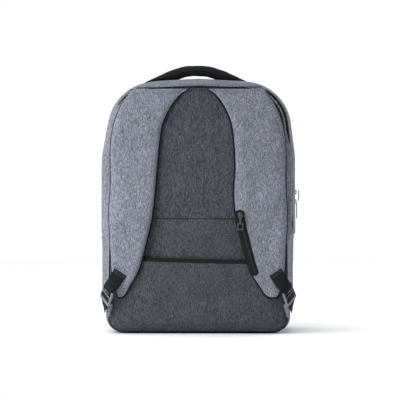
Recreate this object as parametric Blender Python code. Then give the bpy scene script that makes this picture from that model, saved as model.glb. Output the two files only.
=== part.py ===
"""Laptop backpack with a solar panel on its outer face, as separate sewn and moulded pieces.

Metres, +Z up, origin on the floor under the middle of the base. +X is to the right of a viewer
behind the wearer's back, -Y is the harness side that lies on the wearer, +Y the solar side.
"""

import math

import bmesh
import bpy
from mathutils import Matrix, Vector

GAP = 0.0003  # between pieces that touch
WALL = 0.003  # padded fabric walls
CLOTH = 0.0015  # single cloth, tape and webbing
ARC_STEPS = 5

# Stations along the depth of the bag.
BACK_Y = -0.0700
PANEL = 0.006  # thickness of the padded back panel
ZIP_Y = 0.0  # where the two halves of the main zip meet
TAPE = 0.012  # width of one half of the main zip
FRONT_Y = 0.0620
FRONT_PANEL = 0.005
FRONT_PLANE = FRONT_Y - FRONT_PANEL
FRONT_ROUND = 0.006  # how far the front edge is rounded in
FRONT_STRETCH = 0.9  # the front panel follows this share of the gusset's rounding

# Outline of the bag seen along Y. A corner is x, z and the radius that rounds it.
BASE = 0.003
FLOOR = BASE + GAP
FLAP_Z = 0.170
TOP_Z = 0.430
HALF_WIDTH = 0.1635
LOWER_HALF_WIDTH = 0.1555
POCKET_HEM_Z = 0.158
LOWER_CORNERS = [
    (0, FLOOR, 0),
    (LOWER_HALF_WIDTH, FLOOR, 0.024),
    (LOWER_HALF_WIDTH, POCKET_HEM_Z, 0.010),
    (HALF_WIDTH, FLAP_Z, 0),
]
UPPER_CORNERS = [
    (HALF_WIDTH, FLAP_Z, 0),
    (HALF_WIDTH, 0.300, 0.12),
    (0.1490, 0.4150, 0.080),
    (0.0780, 0.4265, 0.15),
    (0, TOP_Z, 0),
]
# The seam round the back panel, corner for corner as the outline above.
SEAM_X = 0.147
# How far the gusset has spread from the seam to the outline, against its distance from the panel.
SEAM_TO_SIDE = [(0, 0.10), (0.006, 0.62), (0.015, 0.93), (0.026, 1)]
LOWER_SEAM = [
    (0, FLOOR, 0),
    (0.1515, FLOOR, 0.024),
    (0.1480, POCKET_HEM_Z, 0.010),
    (SEAM_X, FLAP_Z, 0),
]
UPPER_SEAM = [
    (SEAM_X, FLAP_Z, 0),
    (SEAM_X, 0.300, 0.12),
    (0.1375, 0.4035, 0.064),
    (0.0780, 0.4135, 0.15),
    (0, 0.4165, 0),
]

# Back pocket, straps and their webbing.
BACK_POCKET_GAP = 0.0052
BACK_POCKET_Y = BACK_Y - GAP - BACK_POCKET_GAP - CLOTH
BACK_POCKET_TOP = 0.1195
BINDING = 0.007
STRAP_TOP = 0.412
STRAP_TIP = 0.0625
STRAP_THICK = 0.010
STRAP_HINGE = Vector((0, BACK_Y, 0.414))
# Edges of a strap: height and distance from the middle of the bag.
STRAP_INNER = [
    (0.0625, 0.1200),
    (0.0830, 0.1080),
    (0.1020, 0.0965),
    (0.1230, 0.0890),
    (0.1570, 0.0800),
    (0.1930, 0.0715),
    (0.2350, 0.0670),
    (0.2840, 0.0660),
    (0.3300, 0.0625),
    (0.3600, 0.0565),
    (0.3880, 0.0425),
    (0.4060, 0.0275),
    (0.4120, 0.0170),
]
STRAP_OUTER = [
    (0.0625, 0.1370),
    (0.1000, 0.1400),
    (0.1600, 0.1430),
    (0.2000, 0.1450),
    (0.2840, 0.1480),
    (0.3200, 0.1475),
    (0.3450, 0.1440),
    (0.3640, 0.1390),
    (0.3830, 0.1310),
    (0.3980, 0.1225),
    (0.4120, 0.1120),
]
# Both straps lean to the left by this much at each height, at their inner edges.
STRAP_LEAN = [
    (0.0625, 0.0050),
    (0.1000, 0.0060),
    (0.2250, 0.0064),
    (0.2840, 0.0030),
    (0.3600, 0.0015),
    (0.4120, 0),
]
STRAP_STATIONS = 26
WEBBING = 0.025
STRAP_TAB_START = Vector((0.1310, -0.0895, 0.1030))
STRAP_TAB_LENGTH = 0.030
LOCK_LENGTH = 0.026
LOCK_WIDTH = 0.031
LOCK_THICK = 0.004
LOCK_SLOT = 0.006
LOCK_ROLL = math.radians(33)
LOCK_YAW = math.radians(55)
LOCK_HINGE = Vector((0.1495, -0.0915, 0.0765))
# The adjuster webbing: a place and the direction of its width, for the right side.
ADJUSTER = [
    ((0.1582, -0.0790, 0.0532), (0.48, 0.69, 0.54)),
    ((0.1625, -0.0735, 0.0495), (0.40, 0.60, 0.69)),
    ((0.1640, -0.0665, 0.0465), (0.28, 0.56, 0.78)),
    ((0.1625, -0.0590, 0.0435), (0.15, 0.50, 0.85)),
    ((0.1600, -0.0520, 0.0410), (0.05, 0.45, 0.89)),
]
CORNER_TAB = [(0.1430, 0.0500), (0.1560, 0.0520), (0.1525, 0.0200)]

# Handle.
HANDLE_Y = -0.030
HANDLE_HINGE = Vector((0, HANDLE_Y, 0.4275))
HANDLE_FOOT_X = 0.071
HANDLE_WIDTH = 0.026
HANDLE_ANCHOR_X = (0.0745, 0.0930)
# Middle line of the handle, as x and z, and its thickness against the distance from the middle.
HANDLE_HALF = [(-HANDLE_FOOT_X, 0.4325), (-0.052, 0.4385), (-0.030, 0.4432), (0, 0.4455)]
HANDLE_THICKNESS = [(0, 0.0165), (0.030, 0.0165), (0.052, 0.0125), (HANDLE_FOOT_X, 0.0070)]
HANDLE_STATIONS = 20

# Solar panel on the upper front.
SOLAR_HALF_X = 0.112
SOLAR_LOW = 0.200
SOLAR_HIGH = 0.392
SOLAR_BORDER = 0.010
SOLAR_BACKING = 0.0015
CELL_ROWS = 2
CELL_COLUMNS = 2
CELL_GAP = 0.004
CELL_THICK = 0.0008

# The box with the charge regulator on the inside of the flap, and its cable to the port.
JUNCTION_LOW = Vector((-0.034, FRONT_PLANE - GAP - 0.010, 0.330))
JUNCTION_HIGH = Vector((0.034, FRONT_PLANE - GAP, 0.372))
LEAD = 0.0018  # radius
# The lead leaves the junction box downwards, crosses the inside of the panel and ends at the port.
LEAD_ROUTE = [
    (-0.020, 0.0505, 0.3265),
    (-0.021, 0.0505, 0.3150),
    (-0.034, 0.0510, 0.2950),
    (-0.070, 0.0520, 0.2750),
    (-0.110, 0.0520, 0.2600),
    (-0.138, 0.0490, 0.2450),
    (-0.147, 0.0420, 0.2300),
    (-0.1455, 0.0360, 0.2225),
]
LEAD_PARTS = 3  # points of the curve between two route points

# Lower front pocket.
FRONT_POCKET_Y = 0.080
FRONT_POCKET_TOP = 0.150
FRONT_POCKET_LOW = 0.014
FRONT_POCKET_HALF_X = 0.138
FRONT_POCKET_ZIP_HALF_X = 0.124
FRONT_POCKET_ZIP_Z = (0.1290, 0.1400)

# Side pockets.
SIDE_POCKET_X = 0.162
SIDE_POCKET_Y = (-0.040, 0.040)
SIDE_POCKET_LOW = 0.032
SIDE_POCKET_TOP = 0.150
HEM = 0.006

# Laptop divider and the power bank pocket on it.
DIVIDER_Y = -0.050
DIVIDER_HALF_X = 0.130
DIVIDER_LOW = 0.012
DIVIDER_TOP = 0.310
INNER_POCKET_HALF_X = 0.065
INNER_POCKET_Z = (0.110, 0.235)
INNER_POCKET_DEPTH = 0.020

# USB port on the left side of the flap.
PORT_Y = 0.034
PORT_Z = 0.222
PORT_FLANGE = (0.018, 0.034)
PORT_NECK = (0.010, 0.0180)
PORT_DEPTH = 0.014
PORT_COVER_HINGE = Vector((-HALF_WIDTH - 0.0032, PORT_Y, PORT_Z + 0.0165))

# Zip sliders and pullers.
SLIDER = (0.0030, 0.0085, 0.0100)  # out from the zip, across it and along it
PULLER_BAR = (0.0014, 0.0036)
PULLER_END = (0.0100, 0.0120)  # across and down
PULLER_WINDOW = (0.0060, 0.0075)
KNUCKLE = 0.0046  # from the zip's face out to the puller's hinge

# Zip of the small pocket in the right strap.
STRAP_ZIP_TOP = 0.208
STRAP_ZIP_LOW = 0.100
STRAP_ZIP_WIDTH = 0.013
STRAP_ZIP_INSET = 0.001
STRAP_ZIP_STATIONS = 8
STRAP_SLIDER_Z = 0.201
STRAP_SLIDER_LOW = 0.140
STRAP_SLIDER_LIFT = 0.0004  # the zip bows outwards by this much between the ends of the travel

MATERIALS = {
    "light_melange": ((0.26, 0.27, 0.32), 0.95, 0.0),
    "dark_melange": ((0.09, 0.095, 0.105), 0.95, 0.0),
    "black_webbing": ((0.012, 0.012, 0.014), 0.8, 0.0),
    "black_plastic": ((0.015, 0.015, 0.017), 0.4, 0.0),
    "grey_plastic": ((0.25, 0.25, 0.28), 0.45, 0.0),
    "gunmetal": ((0.10, 0.10, 0.11), 0.3, 1.0),
    "lining": ((0.05, 0.05, 0.06), 0.9, 0.0),
    "solar_cell": ((0.01, 0.015, 0.05), 0.25, 0.0),
    "solar_film": ((0.6, 0.65, 0.7), 0.1, 0.0),
    "black_rubber": ((0.02, 0.02, 0.02), 0.7, 0.0),
    "steel": ((0.6, 0.6, 0.6), 0.25, 1.0),
}


def clear_scene():
    for thing in list(bpy.data.objects):
        bpy.data.objects.remove(thing)


def material(name):
    found = bpy.data.materials.get(name)
    if found:
        return found
    colour, roughness, metallic = MATERIALS[name]
    made = bpy.data.materials.new(name)
    made.use_nodes = True
    shader = made.node_tree.nodes["Principled BSDF"]
    shader.inputs["Base Color"].default_value = (*colour, 1)
    shader.inputs["Roughness"].default_value = roughness
    shader.inputs["Metallic"].default_value = metallic
    return made


def loft(name, loops, finish, ring=False):
    """A closed solid through loops of equal length; a ring joins its last loop to its first."""
    build = bmesh.new()
    rows = [[build.verts.new(point) for point in loop] for loop in loops]
    followers = rows[1:] + rows[:1] if ring else rows[1:]
    for row, following in zip(rows, followers):
        for i in range(len(row)):
            j = (i + 1) % len(row)
            build.faces.new((row[i], row[j], following[j], following[i]))
    if not ring:
        build.faces.new(rows[0])
        build.faces.new(rows[-1])
    bmesh.ops.recalc_face_normals(build, faces=build.faces)
    mesh = bpy.data.meshes.new(name)
    build.to_mesh(mesh)
    build.free()
    mesh.shade_smooth()
    mesh.set_sharp_from_angle(angle=math.radians(35))
    made = bpy.data.objects.new(name, mesh)
    made.data.materials.append(material(finish))
    bpy.context.scene.collection.objects.link(made)
    return made


def prism(name, outline, low_y, high_y, finish):
    """A plate whose outline of (x, z) points is extruded along Y."""
    return loft(name, [[(x, y, z) for x, z in outline] for y in (low_y, high_y)], finish)


def block(name, low, high, finish, bevel=0.0):
    outline = [(low[0], low[2]), (high[0], low[2]), (high[0], high[2]), (low[0], high[2])]
    made = prism(name, outline, low[1], high[1], finish)
    if bevel:
        soften(made, bevel)
    return made


def soften(thing, width, segments=2):
    bevel = thing.modifiers.new("soft_edges", "BEVEL")
    bevel.width = width
    bevel.segments = segments
    bevel.limit_method = "ANGLE"


def carve(thing, cutter):
    """Cuts one solid out of another and keeps the cutter as a hidden guide."""
    cutter.hide_render = True
    cutter.display_type = "WIRE"
    cut = thing.modifiers.new("cut_" + cutter.name, "BOOLEAN")
    cut.operation = "DIFFERENCE"
    cut.object = cutter


def hang(pivot_name, place, *pieces):
    """An empty on a joint's axis, with the pieces that it carries."""
    pivot = bpy.data.objects.new(pivot_name, None)
    pivot.location = place
    pivot.empty_display_size = 0.02
    bpy.context.scene.collection.objects.link(pivot)
    for piece in pieces:
        piece.parent = pivot
        piece.matrix_parent_inverse = Matrix.Translation(-Vector(place))
    return pivot


def mirrored(points):
    return [(-x, z) for x, z in reversed(points)]


def fillet(before, corner, after, radius):
    """Points of the arc that rounds a corner of an outline."""
    corner = Vector(corner)
    back = (Vector(before) - corner).normalized()
    onward = (Vector(after) - corner).normalized()
    half = back.angle(onward) / 2
    centre = corner + (back + onward).normalized() * radius / math.sin(half)
    reach = radius / math.tan(half)
    start = corner + back * reach - centre
    end = corner + onward * reach - centre
    sweep = math.pi - 2 * half
    arc = []
    for i in range(ARC_STEPS + 1):
        turn = sweep * i / ARC_STEPS
        arc.append(centre + (start * math.sin(sweep - turn) + end * math.sin(turn)) / math.sin(sweep))
    return [tuple(point) for point in arc]


def rounded(corners):
    """An open outline through corners of x, z and radius."""
    points = [corners[0][:2]]
    for before, corner, after in zip(corners, corners[1:], corners[2:]):
        points += fillet(before[:2], corner[:2], after[:2], corner[2])
    points.append(corners[-1][:2])
    return points


def between(corners, others, share, inset):
    """Corners on the way from one outline to another, moved in by inset."""
    found = []
    for (x, z, radius), (other_x, other_z, other_radius) in zip(corners, others):
        x += (other_x - x) * share
        z += (other_z - z) * share
        radius += (other_radius - radius) * share
        x -= inset if x > 0 else 0
        if z < 2 * FLOOR:
            z += inset
        elif z > 0.4:
            z -= inset
        found.append((x, z, max(radius - inset, 0.004) if radius else 0))
    return found


def arch(share=1.0, inset=0.0):
    """The outline above the flap line, from the left side over the top to the right."""
    half = rounded(between(UPPER_SEAM, UPPER_CORNERS, share, inset))
    return mirrored(half[:-1])[::-1] + half[::-1]


def cup(share=1.0, inset=0.0):
    """The outline below the flap line, from the right side under the base to the left."""
    half = rounded(between(LOWER_SEAM, LOWER_CORNERS, share, inset))
    return half[::-1] + mirrored(half[1:])[::-1]


def whole(share=1.0, inset=0.0):
    return arch(share, inset) + cup(share, inset)[1:-1]


def walls(name, curve, stations, thickness, finish, ring=False):
    """A wall that follows a curve. A station is y, share and inset of its outer face."""
    outer = [(y, curve(share, inset)) for y, share, inset in stations]
    inner = [(y, curve(share, inset + thickness)) for y, share, inset in reversed(stations)]
    loops = []
    for i in range(len(outer[0][1])):
        loops.append([(line[i][0], y, line[i][1]) for y, line in outer + inner])
    return loft(name, loops, finish, ring)


def along(knots, at):
    """A smooth value through knots of position and value, read at one position."""
    i = 0
    while i < len(knots) - 2 and at > knots[i + 1][0]:
        i += 1
    here, there = knots[i], knots[i + 1]
    before = knots[max(i - 1, 0)]
    after = knots[min(i + 2, len(knots) - 1)]
    step = there[0] - here[0]
    leave = (there[1] - before[1]) / (there[0] - before[0]) * step
    arrive = (after[1] - here[1]) / (after[0] - here[0]) * step
    t = (at - here[0]) / step
    return (
        here[1] * (2 * t**3 - 3 * t**2 + 1)
        + leave * (t**3 - 2 * t**2 + t)
        + there[1] * (3 * t**2 - 2 * t**3)
        + arrive * (t**3 - t**2)
    )


def eased(low, high, at):
    """0 below low, 1 above high and a smooth step between."""
    t = min(max((at - low) / (high - low), 0), 1)
    return t * t * (3 - 2 * t)


def band(name, path, thickness, width, finish):
    """A strip of webbing. Each place on its path is a point and the direction of its width."""
    loops = []
    for i, (point, across) in enumerate(path):
        ahead = path[min(i + 1, len(path) - 1)][0] - path[max(i - 1, 0)][0]
        across = across.normalized() * width / 2
        up = across.cross(ahead).normalized() * thickness / 2
        loops.append([point - across - up, point + across - up, point + across + up, point - across + up])
    return loft(name, loops, finish)


# Shell ---------------------------------------------------------------------------------


def back_shell():
    panel = prism("back_panel", whole(0.0, 0.0), BACK_Y, BACK_Y + PANEL, "dark_melange")
    soften(panel, 0.0015)
    rear = ZIP_Y - GAP / 2 - TAPE
    start = BACK_Y + PANEL + GAP
    stations = [(start + away, share, 0) for away, share in SEAM_TO_SIDE]
    stations.append((rear - GAP, 1, 0))
    walls("rear_gusset", whole, stations, WALL, "light_melange", ring=True)
    walls("main_zip_rear", arch, [(rear, 1, 0), (ZIP_Y - GAP / 2, 1, 0)], CLOTH, "black_webbing")


def lift(curve, amount):
    """A curve whose ends at the flap line are moved up, to clear what is below."""

    def moved(share, inset):
        points = curve(share, inset)
        points[0] = (points[0][0], points[0][1] + amount)
        points[-1] = (points[-1][0], points[-1][1] + amount)
        return points

    return moved


def lower_shell():
    rear = ZIP_Y - GAP / 2 - TAPE
    stations = [(rear, 1, 0), (FRONT_PLANE - 0.014, 1, 0), (FRONT_PLANE - GAP, 1, FRONT_ROUND * 0.6)]
    walls("lower_gusset", lift(cup, -GAP), stations, WALL, "light_melange")
    face = lift(cup, -GAP)(1, FRONT_ROUND * FRONT_STRETCH)
    panel = prism("lower_front_panel", face, FRONT_PLANE, FRONT_Y, "light_melange")
    soften(panel, 0.0015)
    base_panel()


def base_panel():
    corner = 0.030
    low, high = Vector((-0.131, BACK_Y + 0.010)), Vector((0.131, FRONT_Y - 0.008))
    outline = []
    turns = [(high.x, high.y, 0), (low.x, high.y, 90), (low.x, low.y, 180), (high.x, low.y, 270)]
    for x, y, start in turns:
        for i in range(ARC_STEPS + 1):
            turn = math.radians(start + 90 * i / ARC_STEPS)
            middle = Vector((x - math.copysign(corner, x), y - math.copysign(corner, y)))
            outline.append(middle + Vector((math.cos(turn), math.sin(turn))) * corner)
    loft("base_panel", [[(p.x, p.y, z) for p in outline] for z in (0, BASE)], "black_webbing")


def flap_shell():
    """The upper front, which the main zip lets down, and its half of the zip."""
    clear = lift(arch, GAP)
    front = ZIP_Y + GAP / 2
    tape = [(front, 1, 0), (front + TAPE, 1, 0)]
    zip_front = walls("main_zip_front", clear, tape, CLOTH, "black_webbing")
    start = front + TAPE + GAP
    stations = [(start, 1, 0), (FRONT_PLANE - 0.014, 1, 0), (FRONT_PLANE - GAP, 1, FRONT_ROUND * 0.6)]
    gusset = walls("front_gusset", clear, stations, WALL, "light_melange")
    hole = [size + 2 * GAP for size in PORT_NECK]
    cutter = block(
        "port_cutter",
        (-HALF_WIDTH - 0.01, PORT_Y - hole[0] / 2, PORT_Z - hole[1] / 2),
        (-HALF_WIDTH + 0.01, PORT_Y + hole[0] / 2, PORT_Z + hole[1] / 2),
        "lining",
    )
    carve(gusset, cutter)
    face = clear(1, FRONT_ROUND * FRONT_STRETCH)
    panel = prism("front_panel", face, FRONT_PLANE, FRONT_Y, "light_melange")
    soften(panel, 0.0015)
    return [zip_front, gusset, panel]


# Solar side ----------------------------------------------------------------------------


def solar_panel():
    """Backing board, cells, clear film and a sewn border, one on the other."""
    pieces = []
    y = FRONT_Y + GAP
    back_low = (-SOLAR_HALF_X, y, SOLAR_LOW)
    back_high = (SOLAR_HALF_X, y + SOLAR_BACKING, SOLAR_HIGH)
    backing = block("solar_backing", back_low, back_high, "black_plastic")
    pieces.append(backing)
    y += SOLAR_BACKING + GAP
    inner_x = SOLAR_HALF_X - SOLAR_BORDER - GAP
    inner_low = SOLAR_LOW + SOLAR_BORDER + GAP
    inner_high = SOLAR_HIGH - SOLAR_BORDER - GAP
    wide = (2 * inner_x - (CELL_COLUMNS + 1) * CELL_GAP) / CELL_COLUMNS
    tall = (inner_high - inner_low - (CELL_ROWS + 1) * CELL_GAP) / CELL_ROWS
    for row in range(CELL_ROWS):
        for column in range(CELL_COLUMNS):
            x = -inner_x + CELL_GAP + column * (wide + CELL_GAP)
            z = inner_low + CELL_GAP + row * (tall + CELL_GAP)
            name = f"solar_cell_{row * CELL_COLUMNS + column + 1}"
            pieces.append(block(name, (x, y, z), (x + wide, y + CELL_THICK, z + tall), "solar_cell"))
    film = y + CELL_THICK + GAP
    pieces.append(block("solar_film", (-inner_x, film, inner_low), (inner_x, film + 0.0008, inner_high),
                        "solar_film"))
    border = block("solar_border", (-SOLAR_HALF_X, y, SOLAR_LOW), (SOLAR_HALF_X, film + 0.0015, SOLAR_HIGH),
                   "black_webbing")
    window = block("solar_window", (-inner_x - GAP, y - 0.01, inner_low - GAP),
                   (inner_x + GAP, film + 0.01, inner_high + GAP), "lining")
    carve(border, window)
    pieces.append(border)
    return pieces


def junction_box():
    """The box with the panel's charge regulator, on the inside of the flap, and its lid."""
    box = block("junction_box", JUNCTION_LOW, JUNCTION_HIGH, "black_plastic", 0.0015)
    lid_low = (JUNCTION_LOW.x + 0.001, JUNCTION_LOW.y - GAP - 0.002, JUNCTION_LOW.z + 0.001)
    lid_high = (JUNCTION_HIGH.x - 0.001, JUNCTION_LOW.y - GAP, JUNCTION_HIGH.z - 0.001)
    lid = block("junction_box_lid", lid_low, lid_high, "black_plastic")
    return [box, lid]


def solar_lead():
    """The cable from the junction box to the port, held along the inside of the flap."""
    ends = len(LEAD_ROUTE) - 1
    knots = [[(i, point[axis]) for i, point in enumerate(LEAD_ROUTE)] for axis in range(3)]
    curve = bpy.data.curves.new("solar_lead", "CURVE")
    curve.dimensions = "3D"
    curve.bevel_depth = LEAD
    curve.bevel_resolution = 2
    curve.use_fill_caps = True
    line = curve.splines.new("POLY")
    line.points.add(ends * LEAD_PARTS)
    for i, point in enumerate(line.points):
        point.co = (*(along(knot, i / LEAD_PARTS) for knot in knots), 1)
    lead = bpy.data.objects.new("solar_lead", curve)
    lead.data.materials.append(material("black_rubber"))
    bpy.context.scene.collection.objects.link(lead)
    return lead


def usb_port():
    """Moulded port through the side of the flap: housing, metal socket and rubber cover."""
    face = -HALF_WIDTH - GAP
    flange = [(face - 0.0022, *PORT_FLANGE), (face, *PORT_FLANGE), (face, *PORT_NECK)]
    flange.append((face + PORT_DEPTH, *PORT_NECK))
    loops = []
    for x, wide, tall in flange:
        y0, y1, z0, z1 = PORT_Y - wide / 2, PORT_Y + wide / 2, PORT_Z - tall / 2, PORT_Z + tall / 2
        cut = 0.002
        loops.append([(x, y0 + cut, z0), (x, y1 - cut, z0), (x, y1, z0 + cut), (x, y1, z1 - cut),
                      (x, y1 - cut, z1), (x, y0 + cut, z1), (x, y0, z1 - cut), (x, y0, z0 + cut)])
    housing = loft("usb_housing", loops, "black_plastic")
    slot = (0.0066, 0.0136)
    inner = (0.0049, 0.0122)
    shell = [size - 2 * GAP for size in slot]
    low, high = face - 0.01, face + PORT_DEPTH - 0.001
    carve(housing, port_box("usb_slot", slot, low, high))
    socket = port_box("usb_socket", shell, face - 0.0015, high - GAP, "steel")
    carve(socket, port_box("usb_mouth", inner, low, high - 0.0012))
    hinge = PORT_COVER_HINGE
    cover = block("usb_cover", (hinge.x - 0.0016, PORT_Y - 0.0085, PORT_Z - 0.0165),
                  (hinge.x + 0.0002, PORT_Y + 0.0085, hinge.z - 0.0003), "black_rubber")
    hang("usb_cover_hinge", hinge, cover)
    return [housing, socket]


def port_box(name, size, low, high, finish="lining"):
    return block(name, (low, PORT_Y - size[0] / 2, PORT_Z - size[1] / 2),
                 (high, PORT_Y + size[0] / 2, PORT_Z + size[1] / 2), finish)


# Pockets -------------------------------------------------------------------------------


def pocket_outline(inset):
    half = rounded([
        (0, FRONT_POCKET_LOW + inset, 0),
        (FRONT_POCKET_HALF_X - inset, FRONT_POCKET_LOW + inset, 0.022 - inset),
        (FRONT_POCKET_HALF_X - inset, FRONT_POCKET_TOP - inset, 0.012 - inset),
        (0, FRONT_POCKET_TOP - inset, 0),
    ])
    return half + mirrored(half[1:-1])


def front_pocket():
    """A raised pocket on the lower front, with a zip across the top of its front wall."""
    start = FRONT_Y + GAP
    steps = [(start, 0), (FRONT_POCKET_Y - 0.006, 0)]
    steps += [(FRONT_POCKET_Y - 0.0015, 0.002), (FRONT_POCKET_Y, 0.006)]
    loops = [[(x, y, z) for x, z in pocket_outline(inset)] for y, inset in steps]
    shell = loft("front_pocket_shell", loops, "light_melange")
    carve(shell, prism("front_pocket_hollow", pocket_outline(CLOTH + 0.0065), start + CLOTH,
                       FRONT_POCKET_Y - CLOTH, "lining"))
    half_x = FRONT_POCKET_ZIP_HALF_X
    low, high = FRONT_POCKET_ZIP_Z
    carve(shell, block("front_pocket_slot", (-half_x, FRONT_POCKET_Y - 0.01, low),
                       (half_x, FRONT_POCKET_Y + 0.01, high), "lining"))
    block("front_pocket_zip", (-half_x + GAP, FRONT_POCKET_Y - CLOTH, low + GAP),
          (half_x - GAP, FRONT_POCKET_Y, high - GAP), "black_webbing")
    middle = (low + high) / 2
    place = (half_x - 0.010, FRONT_POCKET_Y + GAP, middle)
    hang_slider("front_pocket", place, (0, 1, 0), (-1, 0, 0), 0.024)


def side_pockets():
    """Slack open pockets on both sides, each with an elastic hem."""
    for side, name in ((-1, "left"), (1, "right")):
        near = side * (LOWER_HALF_WIDTH + GAP)
        far = side * SIDE_POCKET_X
        low, high = min(near, far), max(near, far)
        pocket = block(f"side_pocket_{name}", (low, SIDE_POCKET_Y[0], SIDE_POCKET_LOW),
                       (high, SIDE_POCKET_Y[1], SIDE_POCKET_TOP), "light_melange")
        cut_far = far - side * CLOTH
        cut_near = near - side * 0.01
        hollow = block(f"side_pocket_{name}_hollow",
                       (min(cut_near, cut_far), SIDE_POCKET_Y[0] + CLOTH, SIDE_POCKET_LOW + CLOTH),
                       (max(cut_near, cut_far), SIDE_POCKET_Y[1] - CLOTH, SIDE_POCKET_TOP + 0.01), "lining")
        carve(pocket, hollow)
        inner = far - side * CLOTH
        block(f"side_pocket_hem_{name}",
              (min(inner, far), SIDE_POCKET_Y[0], SIDE_POCKET_TOP + GAP),
              (max(inner, far), SIDE_POCKET_Y[1], SIDE_POCKET_TOP + GAP + HEM), "black_webbing")


def back_pocket():
    """A flat open pocket over the lower back, under the straps, with a bound mouth."""
    half = [(0, 0.008), (0.130, 0.008), (0.143, 0.014), (0.1460, 0.028), (0.1455, BACK_POCKET_TOP)]
    outline = half + [(-x, z) for x, z in reversed(half[1:])]
    panel = prism("back_pocket_panel", outline, BACK_POCKET_Y, BACK_Y - GAP, "dark_melange")
    inner = [(0, 0.011), (0.128, 0.011), (0.140, 0.0165), (0.1430, 0.029), (0.1425, BACK_POCKET_TOP + 0.01)]
    inner += [(-x, z) for x, z in reversed(inner[1:])]
    carve(panel, prism("back_pocket_hollow", inner, BACK_POCKET_Y + CLOTH, BACK_Y + 0.01, "lining"))
    low = BACK_POCKET_TOP + GAP
    block("back_pocket_binding", (-0.1455, BACK_POCKET_Y, low),
          (0.1455, BACK_POCKET_Y + CLOTH, low + BINDING), "black_webbing")


def inner_pieces():
    """The padded wall of the laptop sleeve, and a power bank pocket on it."""
    block("laptop_divider", (-DIVIDER_HALF_X, DIVIDER_Y, DIVIDER_LOW),
          (DIVIDER_HALF_X, DIVIDER_Y + WALL, DIVIDER_TOP), "lining")
    back = DIVIDER_Y + WALL + GAP
    pocket = block("power_bank_pocket", (-INNER_POCKET_HALF_X, back, INNER_POCKET_Z[0]),
                   (INNER_POCKET_HALF_X, back + INNER_POCKET_DEPTH, INNER_POCKET_Z[1]), "lining")
    half_x = INNER_POCKET_HALF_X - CLOTH
    low = (-half_x, back - 0.01, INNER_POCKET_Z[0] + CLOTH)
    high = (half_x, back + INNER_POCKET_DEPTH - CLOTH, INNER_POCKET_Z[1] + 0.01)
    carve(pocket, block("power_bank_hollow", low, high, "lining"))


# Harness -------------------------------------------------------------------------------


def strap_back(z):
    """How far back a strap lies: on the back panel, and over the pocket lower down."""
    over_pocket = BACK_POCKET_Y - GAP
    return over_pocket + (BACK_Y - GAP - over_pocket) * eased(0.128, 0.300, z)


def strap_thickness(z):
    tip = 0.005 + (STRAP_THICK - 0.005) * eased(STRAP_TIP, 0.100, z)
    return tip - (STRAP_THICK - 0.006) * eased(0.385, STRAP_TOP, z)


def strap_inner(z, side):
    return along(STRAP_INNER, z) - side * along(STRAP_LEAN, z)


def strap_pad(name, side):
    loops = []
    for i in range(STRAP_STATIONS + 1):
        z = STRAP_TIP + (STRAP_TOP - STRAP_TIP) * i / STRAP_STATIONS
        inner, outer = strap_inner(z, side), along(STRAP_OUTER, z)
        back, thick = strap_back(z), strap_thickness(z)
        chamfer = thick * 0.35
        section = [(inner + chamfer, back), (inner, back - chamfer), (inner, back - thick + chamfer),
                   (inner + chamfer, back - thick), (outer - chamfer, back - thick),
                   (outer, back - thick + chamfer), (outer, back - chamfer), (outer - chamfer, back)]
        loops.append([(side * x, y, z) for x, y in section])
    return loft(name, loops, "light_melange")


def webbing_axes(side):
    """Directions across and along the webbing at the lower end of a strap."""
    along_web = Vector((side * math.sin(LOCK_ROLL), 0, -math.cos(LOCK_ROLL)))
    across = Vector((side * math.cos(LOCK_ROLL), 0, math.sin(LOCK_ROLL)))
    turn = Matrix.Rotation(side * LOCK_YAW, 3, "Z")
    return along_web, across, turn @ along_web, turn @ across


def on_side(point, side):
    return Vector((side * point[0], point[1], point[2]))


def strap(name, side):
    pad = strap_pad(f"{name}_strap_pad", side)
    down, across, lock_down, lock_across = webbing_axes(side)
    start = on_side(STRAP_TAB_START, side)
    tab = band(f"{name}_strap_tab", [(start, across), (start + down * STRAP_TAB_LENGTH, across)],
               CLOTH, WEBBING, "black_webbing")
    hinge = on_side(LOCK_HINGE, side)
    lock = ladder_lock(f"{name}_ladder_lock", hinge, lock_down, lock_across)
    hang(f"{name}_ladder_lock_hinge", hinge, lock)
    return pad, tab


def ladder_lock(name, hinge, down, across):
    """A flat buckle with two slots, between the strap's tab and the adjuster webbing."""
    normal = down.cross(across).normalized()
    centre = hinge + down * LOCK_LENGTH / 2

    def plate(label, middle, long, wide, thick):
        loops = []
        for away in (-thick / 2, thick / 2):
            base = middle + normal * away
            corners = ((-0.5, -0.5), (0.5, -0.5), (0.5, 0.5), (-0.5, 0.5))
            loops.append([base + down * long * a + across * wide * b for a, b in corners])
        return loft(label, loops, "grey_plastic")

    frame = plate(name, centre, LOCK_LENGTH, LOCK_WIDTH, LOCK_THICK)
    for label, shift in (("upper", -0.0055), ("lower", 0.0055)):
        middle = centre + down * shift
        slot = plate(f"{name}_{label}_slot", middle, LOCK_SLOT, WEBBING + 0.0012, 4 * LOCK_THICK)
        carve(frame, slot)
    soften(frame, 0.0007, 1)
    return frame


def adjusters():
    for side, name in ((-1, "left"), (1, "right")):
        path = [(on_side(point, side), on_side(across, side)) for point, across in ADJUSTER]
        band(f"{name}_adjuster_webbing", path, CLOTH, WEBBING, "black_webbing")
        outline = [(side * x, z) for x, z in CORNER_TAB]
        back = BACK_POCKET_Y - GAP
        prism(f"{name}_corner_tab", outline, back - CLOTH, back, "light_melange")


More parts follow.
